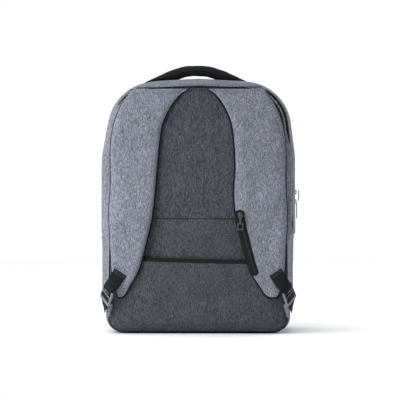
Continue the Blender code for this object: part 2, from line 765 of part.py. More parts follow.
def handle():
    """A padded carrying handle over the top, sewn down at two feet."""
    knots = HANDLE_HALF + [(-x, z) for x, z in reversed(HANDLE_HALF[:-1])]
    loops = []
    for i in range(HANDLE_STATIONS + 1):
        x = -HANDLE_FOOT_X + 2 * HANDLE_FOOT_X * i / HANDLE_STATIONS
        z = along(knots, x)
        thick = along(HANDLE_THICKNESS, abs(x))
        wide = HANDLE_WIDTH * (1 - 0.3 * eased(0.030, HANDLE_FOOT_X, abs(x)))
        section = []
        for j in range(12):
            turn = 2 * math.pi * j / 12
            section.append((x, HANDLE_Y + wide / 2 * math.cos(turn), z + thick / 2 * math.sin(turn)))
        loops.append(section)
    grip = loft("handle_grip", loops, "black_webbing")
    hang("handle_hinge", HANDLE_HINGE, grip)
    section = [(-0.010, GAP), (0.010, GAP), (0.010, GAP + CLOTH), (-0.010, GAP + CLOTH)]
    for side, name in ((-1, "left"), (1, "right")):
        foot = []
        for x in HANDLE_ANCHOR_X:
            top = top_of_bag(x)
            foot.append([(side * x, HANDLE_Y + dy, top + dz) for dy, dz in section])
        loft(f"handle_anchor_{name}", foot, "black_webbing")


def top_of_bag(x):
    """Height of the outer surface of the bag's top, x from its middle."""
    line = [point for point in arch() if point[0] >= 0]
    for (x1, z1), (x2, z2) in zip(line, line[1:]):
        if x1 <= x <= x2 or x2 <= x <= x1:
            return z1 + (z2 - z1) * (x - x1) / (x2 - x1) + 0.0004
    return TOP_Z


# Zip sliders ---------------------------------------------------------------------------


def brick(name, middle, directions, sizes, finish):
    """A block about its middle, with its three sizes along three directions."""
    out, across, down = directions
    loops = []
    for away in (-sizes[0] / 2, sizes[0] / 2):
        base = middle + out * away
        loops.append([base + across * a * sizes[1] / 2 + down * b * sizes[2] / 2
                      for a, b in ((-1, -1), (1, -1), (1, 1), (-1, 1))])
    return loft(name, loops, finish)


def hang_slider(name, place, out, travel, puller_length, knuckle_out=KNUCKLE, knuckle_up=0.0):
    """A slider that faces out and runs along travel, with a puller that hangs from it."""
    place, out, travel = Vector(place), Vector(out), Vector(travel)
    across = out.cross(travel)
    body = brick(f"{name}_slider", place + out * SLIDER[0] / 2, (out, across, travel), SLIDER, "gunmetal")
    soften(body, 0.0008, 1)
    knuckle = place + out * knuckle_out + travel * knuckle_up
    level = out.cross(Vector((0, 0, 1))).normalized()
    face = Vector((0, 0, 1)).cross(level).normalized()
    down = Vector((0, 0, -1))
    axes = (face, level, down)
    bar_length = puller_length - PULLER_END[1] / 2
    bar_middle = knuckle + down * bar_length / 2
    puller = brick(f"{name}_puller", bar_middle, axes, (*PULLER_BAR, bar_length), "gunmetal")
    end_middle = knuckle + down * (puller_length - PULLER_END[1] / 2)
    end = brick(f"{name}_puller_end", end_middle, axes, (PULLER_BAR[0] * 0.9, *PULLER_END), "gunmetal")
    end.hide_render = True
    end.display_type = "WIRE"
    join = puller.modifiers.new("end", "BOOLEAN")
    join.operation = "UNION"
    join.object = end
    carve(puller, brick(f"{name}_puller_window", end_middle, axes, (0.01, *PULLER_WINDOW), "gunmetal"))
    slide = hang(f"{name}_slide", place, body)
    swing = hang(f"{name}_swing", knuckle, puller)
    swing.parent = slide
    swing.matrix_parent_inverse = Matrix.Translation(-slide.location)
    return slide


def main_sliders():
    """Two sliders that meet on the right side; the upper one's puller hangs over the lower."""
    face = HALF_WIDTH + GAP
    out, up = (1, 0, 0), (0, 0, 1)
    hang_slider("main_upper", (face, ZIP_Y, 0.2380), out, up, 0.0175, KNUCKLE + 0.0034, 0.003)
    hang_slider("main_lower", (face, ZIP_Y, 0.2220), out, up, 0.0260, KNUCKLE, -0.003)


def strap_zip_place(z, above):
    """The middle of the strap pocket's zip at one height, above the face of the right strap."""
    x = strap_inner(z, 1) + STRAP_ZIP_INSET + STRAP_ZIP_WIDTH / 2
    return Vector((x, strap_back(z) - strap_thickness(z) - above, z))


def strap_pocket():
    """The zip of the small pocket in the right strap, along the strap's inner edge."""
    path = []
    for i in range(STRAP_ZIP_STATIONS + 1):
        z = STRAP_ZIP_LOW + (STRAP_ZIP_TOP - STRAP_ZIP_LOW) * i / STRAP_ZIP_STATIONS
        path.append((strap_zip_place(z, 2 * GAP + CLOTH / 2), Vector((1, 0, 0))))
    chain = band("strap_pocket_zip", path, CLOTH, STRAP_ZIP_WIDTH, "black_webbing")
    above = 3 * GAP + CLOTH + STRAP_SLIDER_LIFT
    place = strap_zip_place(STRAP_SLIDER_Z, above)
    travel = (strap_zip_place(STRAP_SLIDER_LOW, above) - place).normalized()
    out = travel.cross(Vector((1, 0, 0))).normalized()
    out *= -math.copysign(1, out.y)
    slide = hang_slider("strap_pocket", place, out, travel, 0.026)
    return [chain], slide


def main():
    clear_scene()
    back_shell()
    lower_shell()
    flap = flap_shell() + solar_panel() + junction_box() + [solar_lead()] + usb_port()
    hang("flap_hinge", (0, FRONT_Y, FLAP_Z), *flap)
    front_pocket()
    side_pockets()
    back_pocket()
    inner_pieces()
    hang("left_strap_hinge", STRAP_HINGE, *strap("left", -1))
    chain, strap_slide = strap_pocket()
    right_hinge = hang("right_strap_hinge", STRAP_HINGE, *strap("right", 1), *chain)
    strap_slide.parent = right_hinge
    strap_slide.matrix_parent_inverse = Matrix.Translation(-STRAP_HINGE)
    adjusters()
    handle()
    main_sliders()


main()
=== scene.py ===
"""Visual model of the solar backpack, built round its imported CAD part.

Metres, +Z up, -Y is the harness side that faces the camera at azimuth 0, +Y the solar side.
"""

import math

import bmesh
import bpy
import numpy as np
from mathutils import Matrix, Vector, noise


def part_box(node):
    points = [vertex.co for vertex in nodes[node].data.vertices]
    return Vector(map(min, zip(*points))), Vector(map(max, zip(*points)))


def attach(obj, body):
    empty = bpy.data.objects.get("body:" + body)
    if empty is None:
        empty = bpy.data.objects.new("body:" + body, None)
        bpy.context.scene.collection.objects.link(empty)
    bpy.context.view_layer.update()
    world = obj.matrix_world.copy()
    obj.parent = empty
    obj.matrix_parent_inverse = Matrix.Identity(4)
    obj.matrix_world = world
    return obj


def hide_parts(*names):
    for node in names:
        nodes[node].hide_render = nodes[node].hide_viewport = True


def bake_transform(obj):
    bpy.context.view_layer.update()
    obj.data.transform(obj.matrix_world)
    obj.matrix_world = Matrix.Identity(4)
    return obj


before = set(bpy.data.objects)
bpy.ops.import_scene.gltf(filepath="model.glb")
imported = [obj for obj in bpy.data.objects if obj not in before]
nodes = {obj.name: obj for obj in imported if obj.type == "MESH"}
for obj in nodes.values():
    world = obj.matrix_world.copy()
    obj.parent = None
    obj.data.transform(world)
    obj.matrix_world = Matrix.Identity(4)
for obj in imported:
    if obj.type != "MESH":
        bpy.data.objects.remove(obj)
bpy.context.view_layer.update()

# Dimensions repeated from the CAD

GAP = 0.0003
WALL = 0.003
CLOTH = 0.0015
BACK_Y = -0.0700
ZIP_Y = 0.0
TAPE = 0.012
FRONT_Y = 0.0620
FRONT_PLANE = 0.0570
FRONT_ROUND = 0.006
FLOOR = 0.0033
FLAP_Z = 0.170
HALF_WIDTH = 0.1635
LOWER_HALF_WIDTH = 0.1555
SEAM_X = 0.147
LOWER_CORNERS = [(0, FLOOR, 0), (0.1555, FLOOR, 0.024), (0.1555, 0.158, 0.010), (HALF_WIDTH, FLAP_Z, 0)]
UPPER_CORNERS = [
    (HALF_WIDTH, FLAP_Z, 0), (HALF_WIDTH, 0.300, 0.12), (0.1490, 0.4150, 0.080),
    (0.0780, 0.4265, 0.15), (0, 0.430, 0),
]
LOWER_SEAM = [(0, FLOOR, 0), (0.1515, FLOOR, 0.024), (0.1480, 0.158, 0.010), (SEAM_X, FLAP_Z, 0)]
UPPER_SEAM = [
    (SEAM_X, FLAP_Z, 0), (SEAM_X, 0.300, 0.12), (0.1375, 0.4035, 0.064),
    (0.0780, 0.4135, 0.15), (0, 0.4165, 0),
]
SEAM_TO_SIDE = [(0, 0.04), (0.003, 0.34), (0.006, 0.62), (0.015, 0.93), (0.026, 1), (0.06, 1)]
ARC_STEPS = 12
STEP = 0.005  # longest edge along an outline
SLUMP = 0.0048

STRAP_TOP = 0.412
STRAP_TIP = 0.0625
STRAP_THICK = 0.010
STRAP_INNER = [
    (0.0625, 0.1200), (0.0830, 0.1080), (0.1020, 0.0965), (0.1230, 0.0890), (0.1570, 0.0800),
    (0.1930, 0.0715), (0.2350, 0.0670), (0.2840, 0.0660), (0.3300, 0.0625), (0.3600, 0.0565),
    (0.3880, 0.0425), (0.4060, 0.0275), (0.4120, 0.0170),
]
STRAP_OUTER = [
    (0.0625, 0.1370), (0.1000, 0.1400), (0.1600, 0.1430), (0.2000, 0.1450), (0.2840, 0.1480),
    (0.3200, 0.1475), (0.3450, 0.1440), (0.3640, 0.1390), (0.3830, 0.1310), (0.3980, 0.1225),
    (0.4120, 0.1120),
]
STRAP_LEAN = [
    (0.0625, 0.0050), (0.1000, 0.0060), (0.2250, 0.0064), (0.2840, 0.0030), (0.3600, 0.0015), (0.4120, 0),
]
STRAP_ZIP_INSET = 0.001
STRAP_SPREAD = 0.0055  # the cloth is slacker than the CAD pad along its lower outer edge
POCKET_Y = BACK_Y - GAP - 0.0052 - CLOTH
POCKET_TOP = 0.1195
WEBBING = 0.025
TAB_START = Vector((0.1310, -0.0895, 0.1030))
LOCK_HINGE = Vector((0.1495, -0.0915, 0.0765))
LOCK_ROLL = math.radians(33)
LOCK_YAW = math.radians(55)
ADJUSTER = [  # points and across vectors, a few millimetres closer to the gusset than the CAD solid
    ((0.1572, -0.0795, 0.0540), (0.48, 0.69, 0.54)),
    ((0.1590, -0.0735, 0.0500), (0.40, 0.60, 0.69)),
    ((0.1598, -0.0665, 0.0465), (0.24, 0.56, 0.80)),
    ((0.1595, -0.0590, 0.0435), (0.12, 0.50, 0.85)),
    ((0.1585, -0.0520, 0.0410), (0.05, 0.45, 0.89)),
]
CORNER_TAB = [(0.1430, 0.0500), (0.1560, 0.0520), (0.1525, 0.0200)]
HANDLE_Y = -0.030
HANDLE_SHIFT = -0.0030
STRAP_ZIP_TOP = 0.208
STRAP_ZIP_LOW = 0.100
STRAP_ZIP_RUN = np.array([0.22752, -0.04171, -0.97288])
SIDE_POCKET_LOW = 0.032

# Dimensions of the looks alone

BAG_MIDDLE = (0, 0, 0.21)
GUSSET_Y = BACK_Y + 0.006  # where the rear gusset starts
GUSSET_BULGE = 0.0012
PANEL_ROLL = 0.0035
RIM_DEPTH, RIM_INSET = 0.014, 0.0046  # how a gusset turns over to the solar side
BACK_SEAM_Z = 0.194
LAPTOP_ZIP = (0.0034, 0.0064)  # distance of its edges from the start of the gusset
LAPTOP_PITCH = 0.0016
STRAP_STITCH_Z = 0.405
SOLAR_CELLS = ("solar_cell_1", "solar_cell_2", "solar_cell_3", "solar_cell_4")
WRAP = 0.0030  # radius of the webbing round the bar of the lock
EDGE = 0.0005  # rounded edges of moulded parts
SIDE_POCKET_TOP = 0.1610
POCKET_SIDE = [(0.0080, 0.1300), (0.0140, 0.1430), (0.0280, 0.1460), (POCKET_TOP + 0.012, 0.1455)]
HANDLE_HALF = 0.088
HANDLE_TOP = [
    (0, 0.4537), (0.022, 0.4525), (0.046, 0.4452), (0.0605, 0.4388), (0.0765, 0.4312),
    (HANDLE_HALF, 0.4257),
]
HANDLE_UNDER = [
    (0, 0.4362), (0.015, 0.4352), (0.026, 0.4322), (0.034, 0.4290), (0.050, 0.4268), (0.070, 0.4250),
    (HANDLE_HALF, 0.4225),
]


# Numbers and curves

def fillet(before, corner, after, radius):
    """The arc that rounds a corner between its neighbours."""
    corner = Vector(corner)
    back = (Vector(before) - corner).normalized()
    onward = (Vector(after) - corner).normalized()
    half = back.angle(onward) / 2
    centre = corner + (back + onward).normalized() * radius / math.sin(half)
    reach = radius / math.tan(half)
    start = corner + back * reach - centre
    end = corner + onward * reach - centre
    sweep = math.pi - 2 * half
    arc = []
    for i in range(ARC_STEPS + 1):
        turn = sweep * i / ARC_STEPS
        arc.append(centre + (start * math.sin(sweep - turn) + end * math.sin(turn)) / math.sin(sweep))
    return [tuple(point) for point in arc]


def rounded(corners):
    """An outline of corners (x, z, radius), open at both ends."""
    points = [corners[0][:2]]
    for before, corner, after in zip(corners, corners[1:], corners[2:]):
        points += fillet(before[:2], corner[:2], after[:2], corner[2])
    points.append(corners[-1][:2])
    return points


def between(corners, others, share, inset):
    """Corners part of the way to others, drawn in at the sides, the base and the top."""
    found = []
    for (x, z, radius), (other_x, other_z, other_radius) in zip(corners, others):
        x += (other_x - x) * share
        z += (other_z - z) * share
        radius += (other_radius - radius) * share
        x -= inset if x > 0 else 0
        if z < 2 * FLOOR:
            z += inset
        elif z > 0.4:
            z -= inset
        found.append((x, z, max(radius - inset, 0.004) if radius else 0))
    return found


def mirrored(points):
    return [(-x, z) for x, z in reversed(points)]


def slumped(points):
    """The left shoulder hangs a little lower than the right one."""
    return [(x + SLUMP * float(eased(0.28, 0.375, z) * eased(0, 0.08, -x)), z) for x, z in points]


def arch(share=1.0, inset=0.0):
    """From the left end of the flap line over the top to its right end."""
    half = rounded(between(UPPER_SEAM, UPPER_CORNERS, share, inset))
    return slumped(mirrored(half[:-1])[::-1]) + half[::-1]


def cup(share=1.0, inset=0.0):
    """From the right end of the flap line under the base to its left end."""
    half = rounded(between(LOWER_SEAM, LOWER_CORNERS, share, inset))
    return half[::-1] + mirrored(half[1:])[::-1]


def whole(share=1.0, inset=0.0):
    return arch(share, inset) + cup(share, inset)[1:-1]


def dense(curve, closed):
    """The same curve with extra points, in the same order at every share and inset."""
    base = np.array(curve(1.0, 0.0))
    ends = np.roll(base, -1, axis=0) if closed else base[1:]
    starts = base if closed else base[:-1]
    counts = [max(1, math.ceil(length / STEP)) for length in np.linalg.norm(ends - starts, axis=1)]

    def sampled(share, inset):
        points = np.array(curve(share, inset))
        following = np.roll(points, -1, axis=0)
        found = []
        for i, count in enumerate(counts):
            for k in range(count):
                found.append(points[i] + (following[i] - points[i]) * k / count)
        if not closed:
            found.append(points[-1])
        return np.array(found)

    return sampled


def along(knots, at):
    """A smooth value through knots of position and value."""
    i = 0
    while i < len(knots) - 2 and at > knots[i + 1][0]:
        i += 1
    here, there = knots[i], knots[i + 1]
    before = knots[max(i - 1, 0)]
    after = knots[min(i + 2, len(knots) - 1)]
    step = there[0] - here[0]
    leave = (there[1] - before[1]) / (there[0] - before[0]) * step
    arrive = (after[1] - here[1]) / (after[0] - here[0]) * step
    t = (at - here[0]) / step
    return (here[1] * (2 * t**3 - 3 * t**2 + 1) + leave * (t**3 - 2 * t**2 + t)
            + there[1] * (3 * t**2 - 2 * t**3) + arrive * (t**3 - t**2))


def eased(low, high, at):
    t = np.clip((at - low) / (high - low), 0, 1)
    return t * t * (3 - 2 * t)


def ripple(points, scale, seed=0.0):
    """Smooth noise of about -1 to 1 at each point, with features of 1 / scale metres."""
    flat = np.asarray(points, float).reshape(-1, 3) * np.asarray(scale, float)
    values = [noise.noise(Vector((x + seed, y - seed, z + 2 * seed))) for x, y, z in flat]
    return np.array(values).reshape(np.shape(points)[:-1])


def lengths(path):
    path = np.asarray(path, float)
    return np.concatenate([[0], np.cumsum(np.linalg.norm(np.diff(path, axis=0), axis=1))])


def columns(places, run, values):
    """Vectors at some places of a run, between those that are given along it."""
    values = np.asarray(values, float)
    return np.column_stack([np.interp(places, run, values[:, k]) for k in range(values.shape[1])])


def resampled(path, step, closed=False):
    """Evenly spaced points along a path."""
    path = np.asarray(path, float)
    if closed:
        path = np.vstack([path, path[:1]])
    run = lengths(path)
    count = max(2, round(run[-1] / step))
    places = np.linspace(0, run[-1], count + 1)
    return columns(places[:-1] if closed else places, run, path)


def smooth_path(knots, step):
    """A smooth path through a few 3-D points."""
    places = np.linspace(0, len(knots) - 1, 12 * len(knots))
    path = [[along([(i, p[k]) for i, p in enumerate(knots)], at) for k in range(3)] for at in places]
    return resampled(path, step)


def ribbon_path(knots, sides, step):
    """A smooth path, each point's share of its length, and its across vectors."""
    path = smooth_path(knots, step)
    share = lengths(path) / lengths(path)[-1]
    return path, share, columns(share, lengths(knots) / lengths(knots)[-1], sides)


def circle(sides):
    """Points round a circle of radius 1."""
    turns = np.arange(sides) * 2 * math.pi / sides
    return np.column_stack([np.cos(turns), np.sin(turns)])


def at_depth(outline, y):
    """Points of x and z as 3-D points at one depth."""
    outline = np.asarray(outline)
    return np.column_stack([outline[:, 0], np.full(len(outline), y), outline[:, 1]])


def surface(us, vs, point):
    """Rows of the points that point(u, v) gives, one row for each v."""
    return np.array([[point(u, v) for u in us] for v in vs])


def rectangle(low, high, inward, steps):
    """The four sides of a rectangle in x and z, as lines of steps + 1 points."""
    (x, z), (far_x, far_z) = (low[0] + inward, low[2] + inward), (high[0] - inward, high[2] - inward)
    corners = [np.array(corner) for corner in ((x, z), (far_x, z), (far_x, far_z), (x, far_z))]
    return [[a + (b - a) * k / steps for k in range(steps + 1)]
            for a, b in zip(corners, corners[1:] + corners[:1])]


def frames(path, across, closed=False):
    """Unit vectors along a path, across it and out of it. Across is one vector, or one for each point."""
    path = np.asarray(path, float)
    if closed:
        ahead = np.roll(path, -1, axis=0) - np.roll(path, 1, axis=0)
    else:
        ahead = np.gradient(path, axis=0)
    ahead /= np.linalg.norm(ahead, axis=1)[:, None]
    across = np.broadcast_to(np.asarray(across, float), path.shape)
    across = across - (across * ahead).sum(1)[:, None] * ahead
    across = across / np.linalg.norm(across, axis=1)[:, None]
    return ahead, across, np.cross(ahead, across)


# Meshes

class Build:
    """Collects points and faces of a piece."""

    def __init__(self):
        self.points, self.faces, self.slots = [], [], []

    def add(self, points, faces):
        start = len(self.points)
        self.points += [tuple(map(float, p)) for p in points]
        self.faces += [[i + start for i in face] for face in faces]
        return self

    def grid(self, rows, around=False, ring=False, caps=False, fan=False):
        """Rows of points. Around closes each row, ring joins the last row to the first, caps
        fill the first and the last row, and fan fills the last from its middle."""
        rows = np.asarray(rows, float)
        m, n = rows.shape[:2]
        faces = []
        for i in range(m if ring else m - 1):
            for j in range(n if around else n - 1):
                below, right = (i + 1) % m * n, (j + 1) % n
                faces.append((i * n + j, i * n + right, below + right, below + j))
        if caps:
            faces += [tuple(range(n)), tuple((m - 1) * n + j for j in range(n))]
        self.add(rows.reshape(-1, 3), faces)
        if fan:
            self.add([*rows[-1], rows[-1].mean(0)], [(j, (j + 1) % n, n) for j in range(n)])
        return self

    def sweep(self, path, section, across=(0, 1, 0), closed=False):
        """A section of points (across, out) carried along a path."""
        _, side, out = frames(path, across, closed)
        section = np.asarray(section, float)
        if section.ndim == 2:
            section = np.broadcast_to(section, (len(path), *section.shape))
        rows = (np.asarray(path)[:, None] + side[:, None] * section[:, :, :1]
                + out[:, None] * section[:, :, 1:])
        return self.grid(rows, around=True, ring=closed, caps=not closed)

    def tube(self, path, radius, across=(0, 1, 0), closed=False):
        """A round tube. Its radius is one number, or one for each point."""
        radius = np.asarray(radius)
        ring = circle(8) * (radius[:, None, None] if radius.ndim else radius)
        return self.sweep(path, ring, across, closed)

    def brick(self, middle, axes, sizes, round_off=0.25):
        """A small chamfered block: sizes along three axes."""
        axes = np.asarray(axes, float) * np.asarray(sizes, float)[:, None] / 2
        k = 1 - round_off
        plan = [(-1, -k), (-k, -1), (k, -1), (1, -k), (1, k), (k, 1), (-k, 1), (-1, k)]
        rows = [[np.asarray(middle) + axes[0] * a * size + axes[1] * b * size + axes[2] * level
                 for a, b in plan] for level, size in ((-1, k), (-k, 1), (k, 1), (1, k))]
        return self.grid(rows, around=True, caps=True)

    def stitches(self, path, out, step=0.0032, length=0.0022, radius=0.00028):
        """A row of short threads along a path, lying on the surface whose normal is out."""
        points = resampled(path, step)
        ahead = frames(points, out)[0]
        out = np.broadcast_to(np.asarray(out, float), points.shape)
        for i in range(len(points) - 1):
            t = ahead[i] / np.linalg.norm(ahead[i])
            up = out[i] - t * (out[i] @ t)
            up /= np.linalg.norm(up)
            side = np.cross(t, up)
            rows = []
            for place, size in ((-0.5, 0.25), (-0.3, 1), (0.3, 1), (0.5, 0.25)):
                lift = 0.0001 if size == 1 else -0.0002  # the ends go into the cloth
                middle = points[i] + t * (place * length + step / 2) + up * lift
                rows.append([middle + side * radius * size * c + up * radius * size * s
                             for c, s in circle(5)])
            self.grid(rows, around=True, caps=True)
        return self

    def teeth(self, path, across, pitch, reach, side=0):
        """The interlocking coil of a closed zip. Side -1 or 1 makes one half, 0 both."""
        points = resampled(path, pitch / 2)
        ahead, over, out = frames(points, across)
        for i in range(1, len(points) - 1):
            which = 1 if i % 2 else -1
            if side and which != side:
                continue
            middle = points[i] + over[i] * which * reach * 0.22
            self.brick(middle, (over[i], out[i], ahead[i]), (reach, 0.0011, pitch * 0.42), 0.3)
        return self

    def done(self, name, materials, sharp=40):
        """The mesh as an object, smooth but for its edges sharper than so many degrees."""
        mesh = bpy.data.meshes.new(name)
        mesh.from_pydata(self.points, [], self.faces)
        for one in materials:
            mesh.materials.append(one)
        work = bmesh.new()
        work.from_mesh(mesh)
        bmesh.ops.recalc_face_normals(work, faces=work.faces)
        work.to_mesh(mesh)
        work.free()
        mesh.shade_smooth()
        mesh.set_sharp_from_angle(angle=math.radians(sharp))
        made = bpy.data.objects.new(name, mesh)
        bpy.context.scene.collection.objects.link(made)
        return made

    def laid(self, name, finish, body, *replaced):
        """The piece in one material on a body, or on none."""
        return on_body(self.done(name, [finish]), body, finish, *replaced)

    def cloth(self, name, finish, outside, thickness, body, *replaced, weld=0.0, inner=None):
        """The piece as a sheet of cloth with its thickness, and the lining or another inside."""
        piece = self.done(name, [finish, inner or LINING], 60)
        if weld:
            merged(piece, weld)
        thicken(aimed(piece, outside), thickness)
        return on_body(piece, body, finish, *replaced)


def merged(piece, distance):
    """Joins the piece's points that lie closer than a distance."""
    work = bmesh.new()
    work.from_mesh(piece.data)
    bmesh.ops.remove_doubles(work, verts=work.verts, dist=distance)
    work.to_mesh(piece.data)
    work.free()
    return piece


def thicken(piece, thickness):
    """Gives an open sheet its thickness, away from its normals, with the next material inside."""
    solid = piece.modifiers.new("thickness", "SOLIDIFY")
    solid.thickness = thickness
    solid.offset = -1
    solid.use_even_offset = False
    solid.material_offset = 1
    graph = bpy.context.evaluated_depsgraph_get()
    made = bpy.data.meshes.new_from_object(piece.evaluated_get(graph))
    piece.modifiers.clear()
    piece.data = made


def aimed(piece, outside):
    """Turns an open sheet's normals to the side that the test of point and normal accepts."""
    mesh = piece.data
    votes = sum(1 if outside(face.center, face.normal) else -1 for face in mesh.polygons)
    if votes < 0:
        mesh.flip_normals()
    return piece


def away_from(middle):
    middle = Vector(middle)
    return lambda centre, normal: (centre - middle).dot(normal) > 0


def facing(x, y):
    """The test for a sheet that faces along x or y."""
    return lambda centre, normal: normal.x * x + normal.y * y > 0


def pushed(rows, amount, outward):
    """Moves a grid's points along their normals, which are turned to agree with outward."""
    rows = np.asarray(rows, float)
    normal = np.cross(np.gradient(rows, axis=0), np.gradient(rows, axis=1))
    normal /= np.maximum(np.linalg.norm(normal, axis=2), 1e-12)[..., None]
    sign = np.sign((normal * outward(rows)).sum(2))[..., None]
    return rows + normal * sign * np.asarray(amount)[..., None]


def on_body(piece, body, finish, *replaced):
    """Puts a piece on its body and hides the CAD nodes that it replaces. Its finish is not used."""
    if body:
        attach(piece, body)
    if replaced:
        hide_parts(*replaced)
    return piece


def refinished(name, finish, edge=0.0):
    """Gives a CAD node its material and, where edge is a width, rounded edges."""
    node = nodes[name]
    node.data.materials.clear()
    node.data.materials.append(finish)
    if edge:
        bevel = node.modifiers.new("moulded_edges", "BEVEL")
        bevel.width, bevel.segments, bevel.limit_method = edge, 2, "ANGLE"


def rounded_section(wide, thick, bulge=0.0):
    """A flat band's section with round edges."""
    radius = thick / 2
    points = []
    for side in (1, -1):
        for i in range(4):
            turn = side * math.pi / 2 - math.pi * i / 3
            points.append((side * (wide / 2 - radius) + radius * math.cos(turn), radius * math.sin(turn)))
        middle = -radius - bulge if side == 1 else radius + bulge
        points.append((0, middle))
    return points


# Materials

class Shader:
    """A Principled material with procedural inputs, in metres of the object's own space."""

    def __init__(self, name, roughness=0.8, metallic=0.0, **sockets):
        self.material = bpy.data.materials.new(name)
        self.material.use_nodes = True
        self.tree = self.material.node_tree
        self.shader = self.tree.nodes["Principled BSDF"]
        self.shader.inputs["Roughness"].default_value = roughness
        self.shader.inputs["Metallic"].default_value = metallic
        for label, value in sockets.items():
            self.shader.inputs[label.replace("_", " ")].default_value = value
        self.place = self.tree.nodes.new("ShaderNodeTexCoord").outputs["Object"]

    def node(self, kind, **settings):
        made = self.tree.nodes.new("ShaderNode" + kind)
        for label, value in settings.items():
            setattr(made, label, value)
        return made

    def put(self, value, socket):
        if hasattr(value, "is_linked"):
            self.tree.links.new(value, socket)
        else:
            socket.default_value = value

    def textured(self, kind, output, scale=1.0, seed=0.0, turn=(0, 0, 0), **inputs):
        """A texture node's output, on the object's own metres scaled, moved and turned."""
        mapping = self.node("Mapping")
        mapping.inputs["Scale"].default_value = scale if hasattr(scale, "__len__") else (scale,) * 3
        mapping.inputs["Location"].default_value = (seed, seed * 0.7, -seed)
        mapping.inputs["Rotation"].default_value = turn
        self.tree.links.new(self.place, mapping.inputs["Vector"])
        texture = self.node(kind)
        for label, value in inputs.items():
            texture.inputs[label].default_value = value
        self.tree.links.new(mapping.outputs["Vector"], texture.inputs["Vector"])
        return texture.outputs[output]

    def grain(self, scale, detail=2.0, rough=0.5, seed=0.0):
        """Noise whose scale is features per metre along each axis."""
        return self.textured("TexNoise", "Fac", scale, seed, Scale=1.0, Detail=detail, Roughness=rough)

    def waves(self, direction, period, distortion=0.0, turn=(0, 0, 0)):
        """Even bands, one every period metres."""
        bands = self.textured("TexWave", "Fac", 1 / period, 0.0, turn, Scale=math.pi / 10,
                              Distortion=distortion)
        bands.node.bands_direction = direction
        return bands

    def cells(self, count, randomness=1.0):
        """Distance from the middles of round cells, so many per metre."""
        return self.textured("TexVoronoi", "Distance", Scale=count, Randomness=randomness)

    def ramp(self, value, stops):
        made = self.node("ValToRGB")
        band = made.color_ramp
        while len(band.elements) < len(stops):
            band.elements.new(0.5)
        for element, (at, colour) in zip(band.elements, stops):
            element.position = at
            element.color = (*colour, 1)
        self.tree.links.new(value, made.inputs["Fac"])
        return made.outputs["Color"]

    def maths(self, operation, first, second, third=None):
        made = self.node("Math", operation=operation)
        self.put(first, made.inputs[0])
        self.put(second, made.inputs[1])
        if third is not None:
            self.put(third, made.inputs[2])
        return made.outputs["Value"]

    def mix(self, share, first, second):
        made = self.node("Mix", data_type="RGBA", blend_type="MIX")
        self.put(share, made.inputs["Factor"])
        self.put(first, made.inputs[6])
        self.put(second, made.inputs[7])
        return made.outputs[2]

    def colour(self, value):
        self.put(value, self.shader.inputs["Base Color"])
        return self

    def roughness(self, value, low, high):
        spread = self.node("MapRange")
        spread.inputs["To Min"].default_value = low
        spread.inputs["To Max"].default_value = high
        self.tree.links.new(value, spread.inputs["Value"])
        self.tree.links.new(spread.outputs["Result"], self.shader.inputs["Roughness"])
        return self

    def bump(self, height, distance, strength=1.0):
        made = self.node("Bump")
        made.inputs["Distance"].default_value = distance
        made.inputs["Strength"].default_value = strength
        self.tree.links.new(height, made.inputs["Height"])
        earlier = self.shader.inputs["Normal"]
        if earlier.is_linked:
            self.tree.links.new(earlier.links[0].from_socket, made.inputs["Normal"])
        self.tree.links.new(made.outputs["Normal"], earlier)
        return self


def scaled(colour, by):
    return tuple(min(c * by, 1.0) for c in colour)


def melange(name, colour, contrast=1.0, sheen=0.15):
    """Polyester of light and dark threads: short upright streaks over a fine weave."""
    made = Shader(name, 0.92, Sheen_Weight=sheen, Sheen_Roughness=0.4, Specular_IOR_Level=0.2)
    streaks = made.grain((900, 900, 190), 3, 0.8)
    specks = made.grain((1700, 1700, 600), 2, 0.6, 3.1)
    patches = made.grain((60, 60, 28), 2, 0.5, 7.7)
    mixed = made.maths("MULTIPLY_ADD", streaks, 0.62, made.maths("MULTIPLY", specks, 0.30))
    mixed = made.maths("MULTIPLY_ADD", patches, 0.08, mixed)
    spread = 0.105 / contrast
    stops = [
        (max(0.5 - spread, 0), scaled(colour, 0.34)), (0.5 - spread * 0.25, scaled(colour, 0.82)),
        (0.5 + spread * 0.3, scaled(colour, 1.20)), (min(0.5 + spread, 1), scaled(colour, 2.1)),
    ]
    made.colour(made.ramp(mixed, stops))
    upright = made.waves("DIAGONAL", 0.00075, 1.2)
    level = made.waves("Z", 0.00062, 1.2)
    weave = made.maths("MULTIPLY", upright, level)
    made.bump(weave, 0.00022, 0.55).bump(streaks, 0.0005, 0.5)
    made.roughness(specks, 0.82, 1.0)
    return made.material


def woven(name, colour, rib, sheen=0.12):
    """Close ribbed tape."""
    made = Shader(name, 0.8, Sheen_Weight=sheen, Sheen_Roughness=0.35, Specular_IOR_Level=0.2)
    ribs = made.waves("DIAGONAL", rib, 0.6)
    cross = made.waves("Z", rib * 0.7, 0.8, (0.5, 0.2, 0))
    fuzz = made.grain(700, 3, 0.6)
    tone = made.maths("MULTIPLY_ADD", ribs, 0.5, made.maths("MULTIPLY", fuzz, 0.5))
    made.colour(made.ramp(tone, [(0.2, scaled(colour, 0.5)), (0.55, colour), (0.85, scaled(colour, 1.9))]))
    made.bump(made.maths("MULTIPLY", ribs, cross), 0.0003, 0.8).bump(fuzz, 0.0002, 0.4)
    made.roughness(fuzz, 0.65, 0.9)
    return made.material


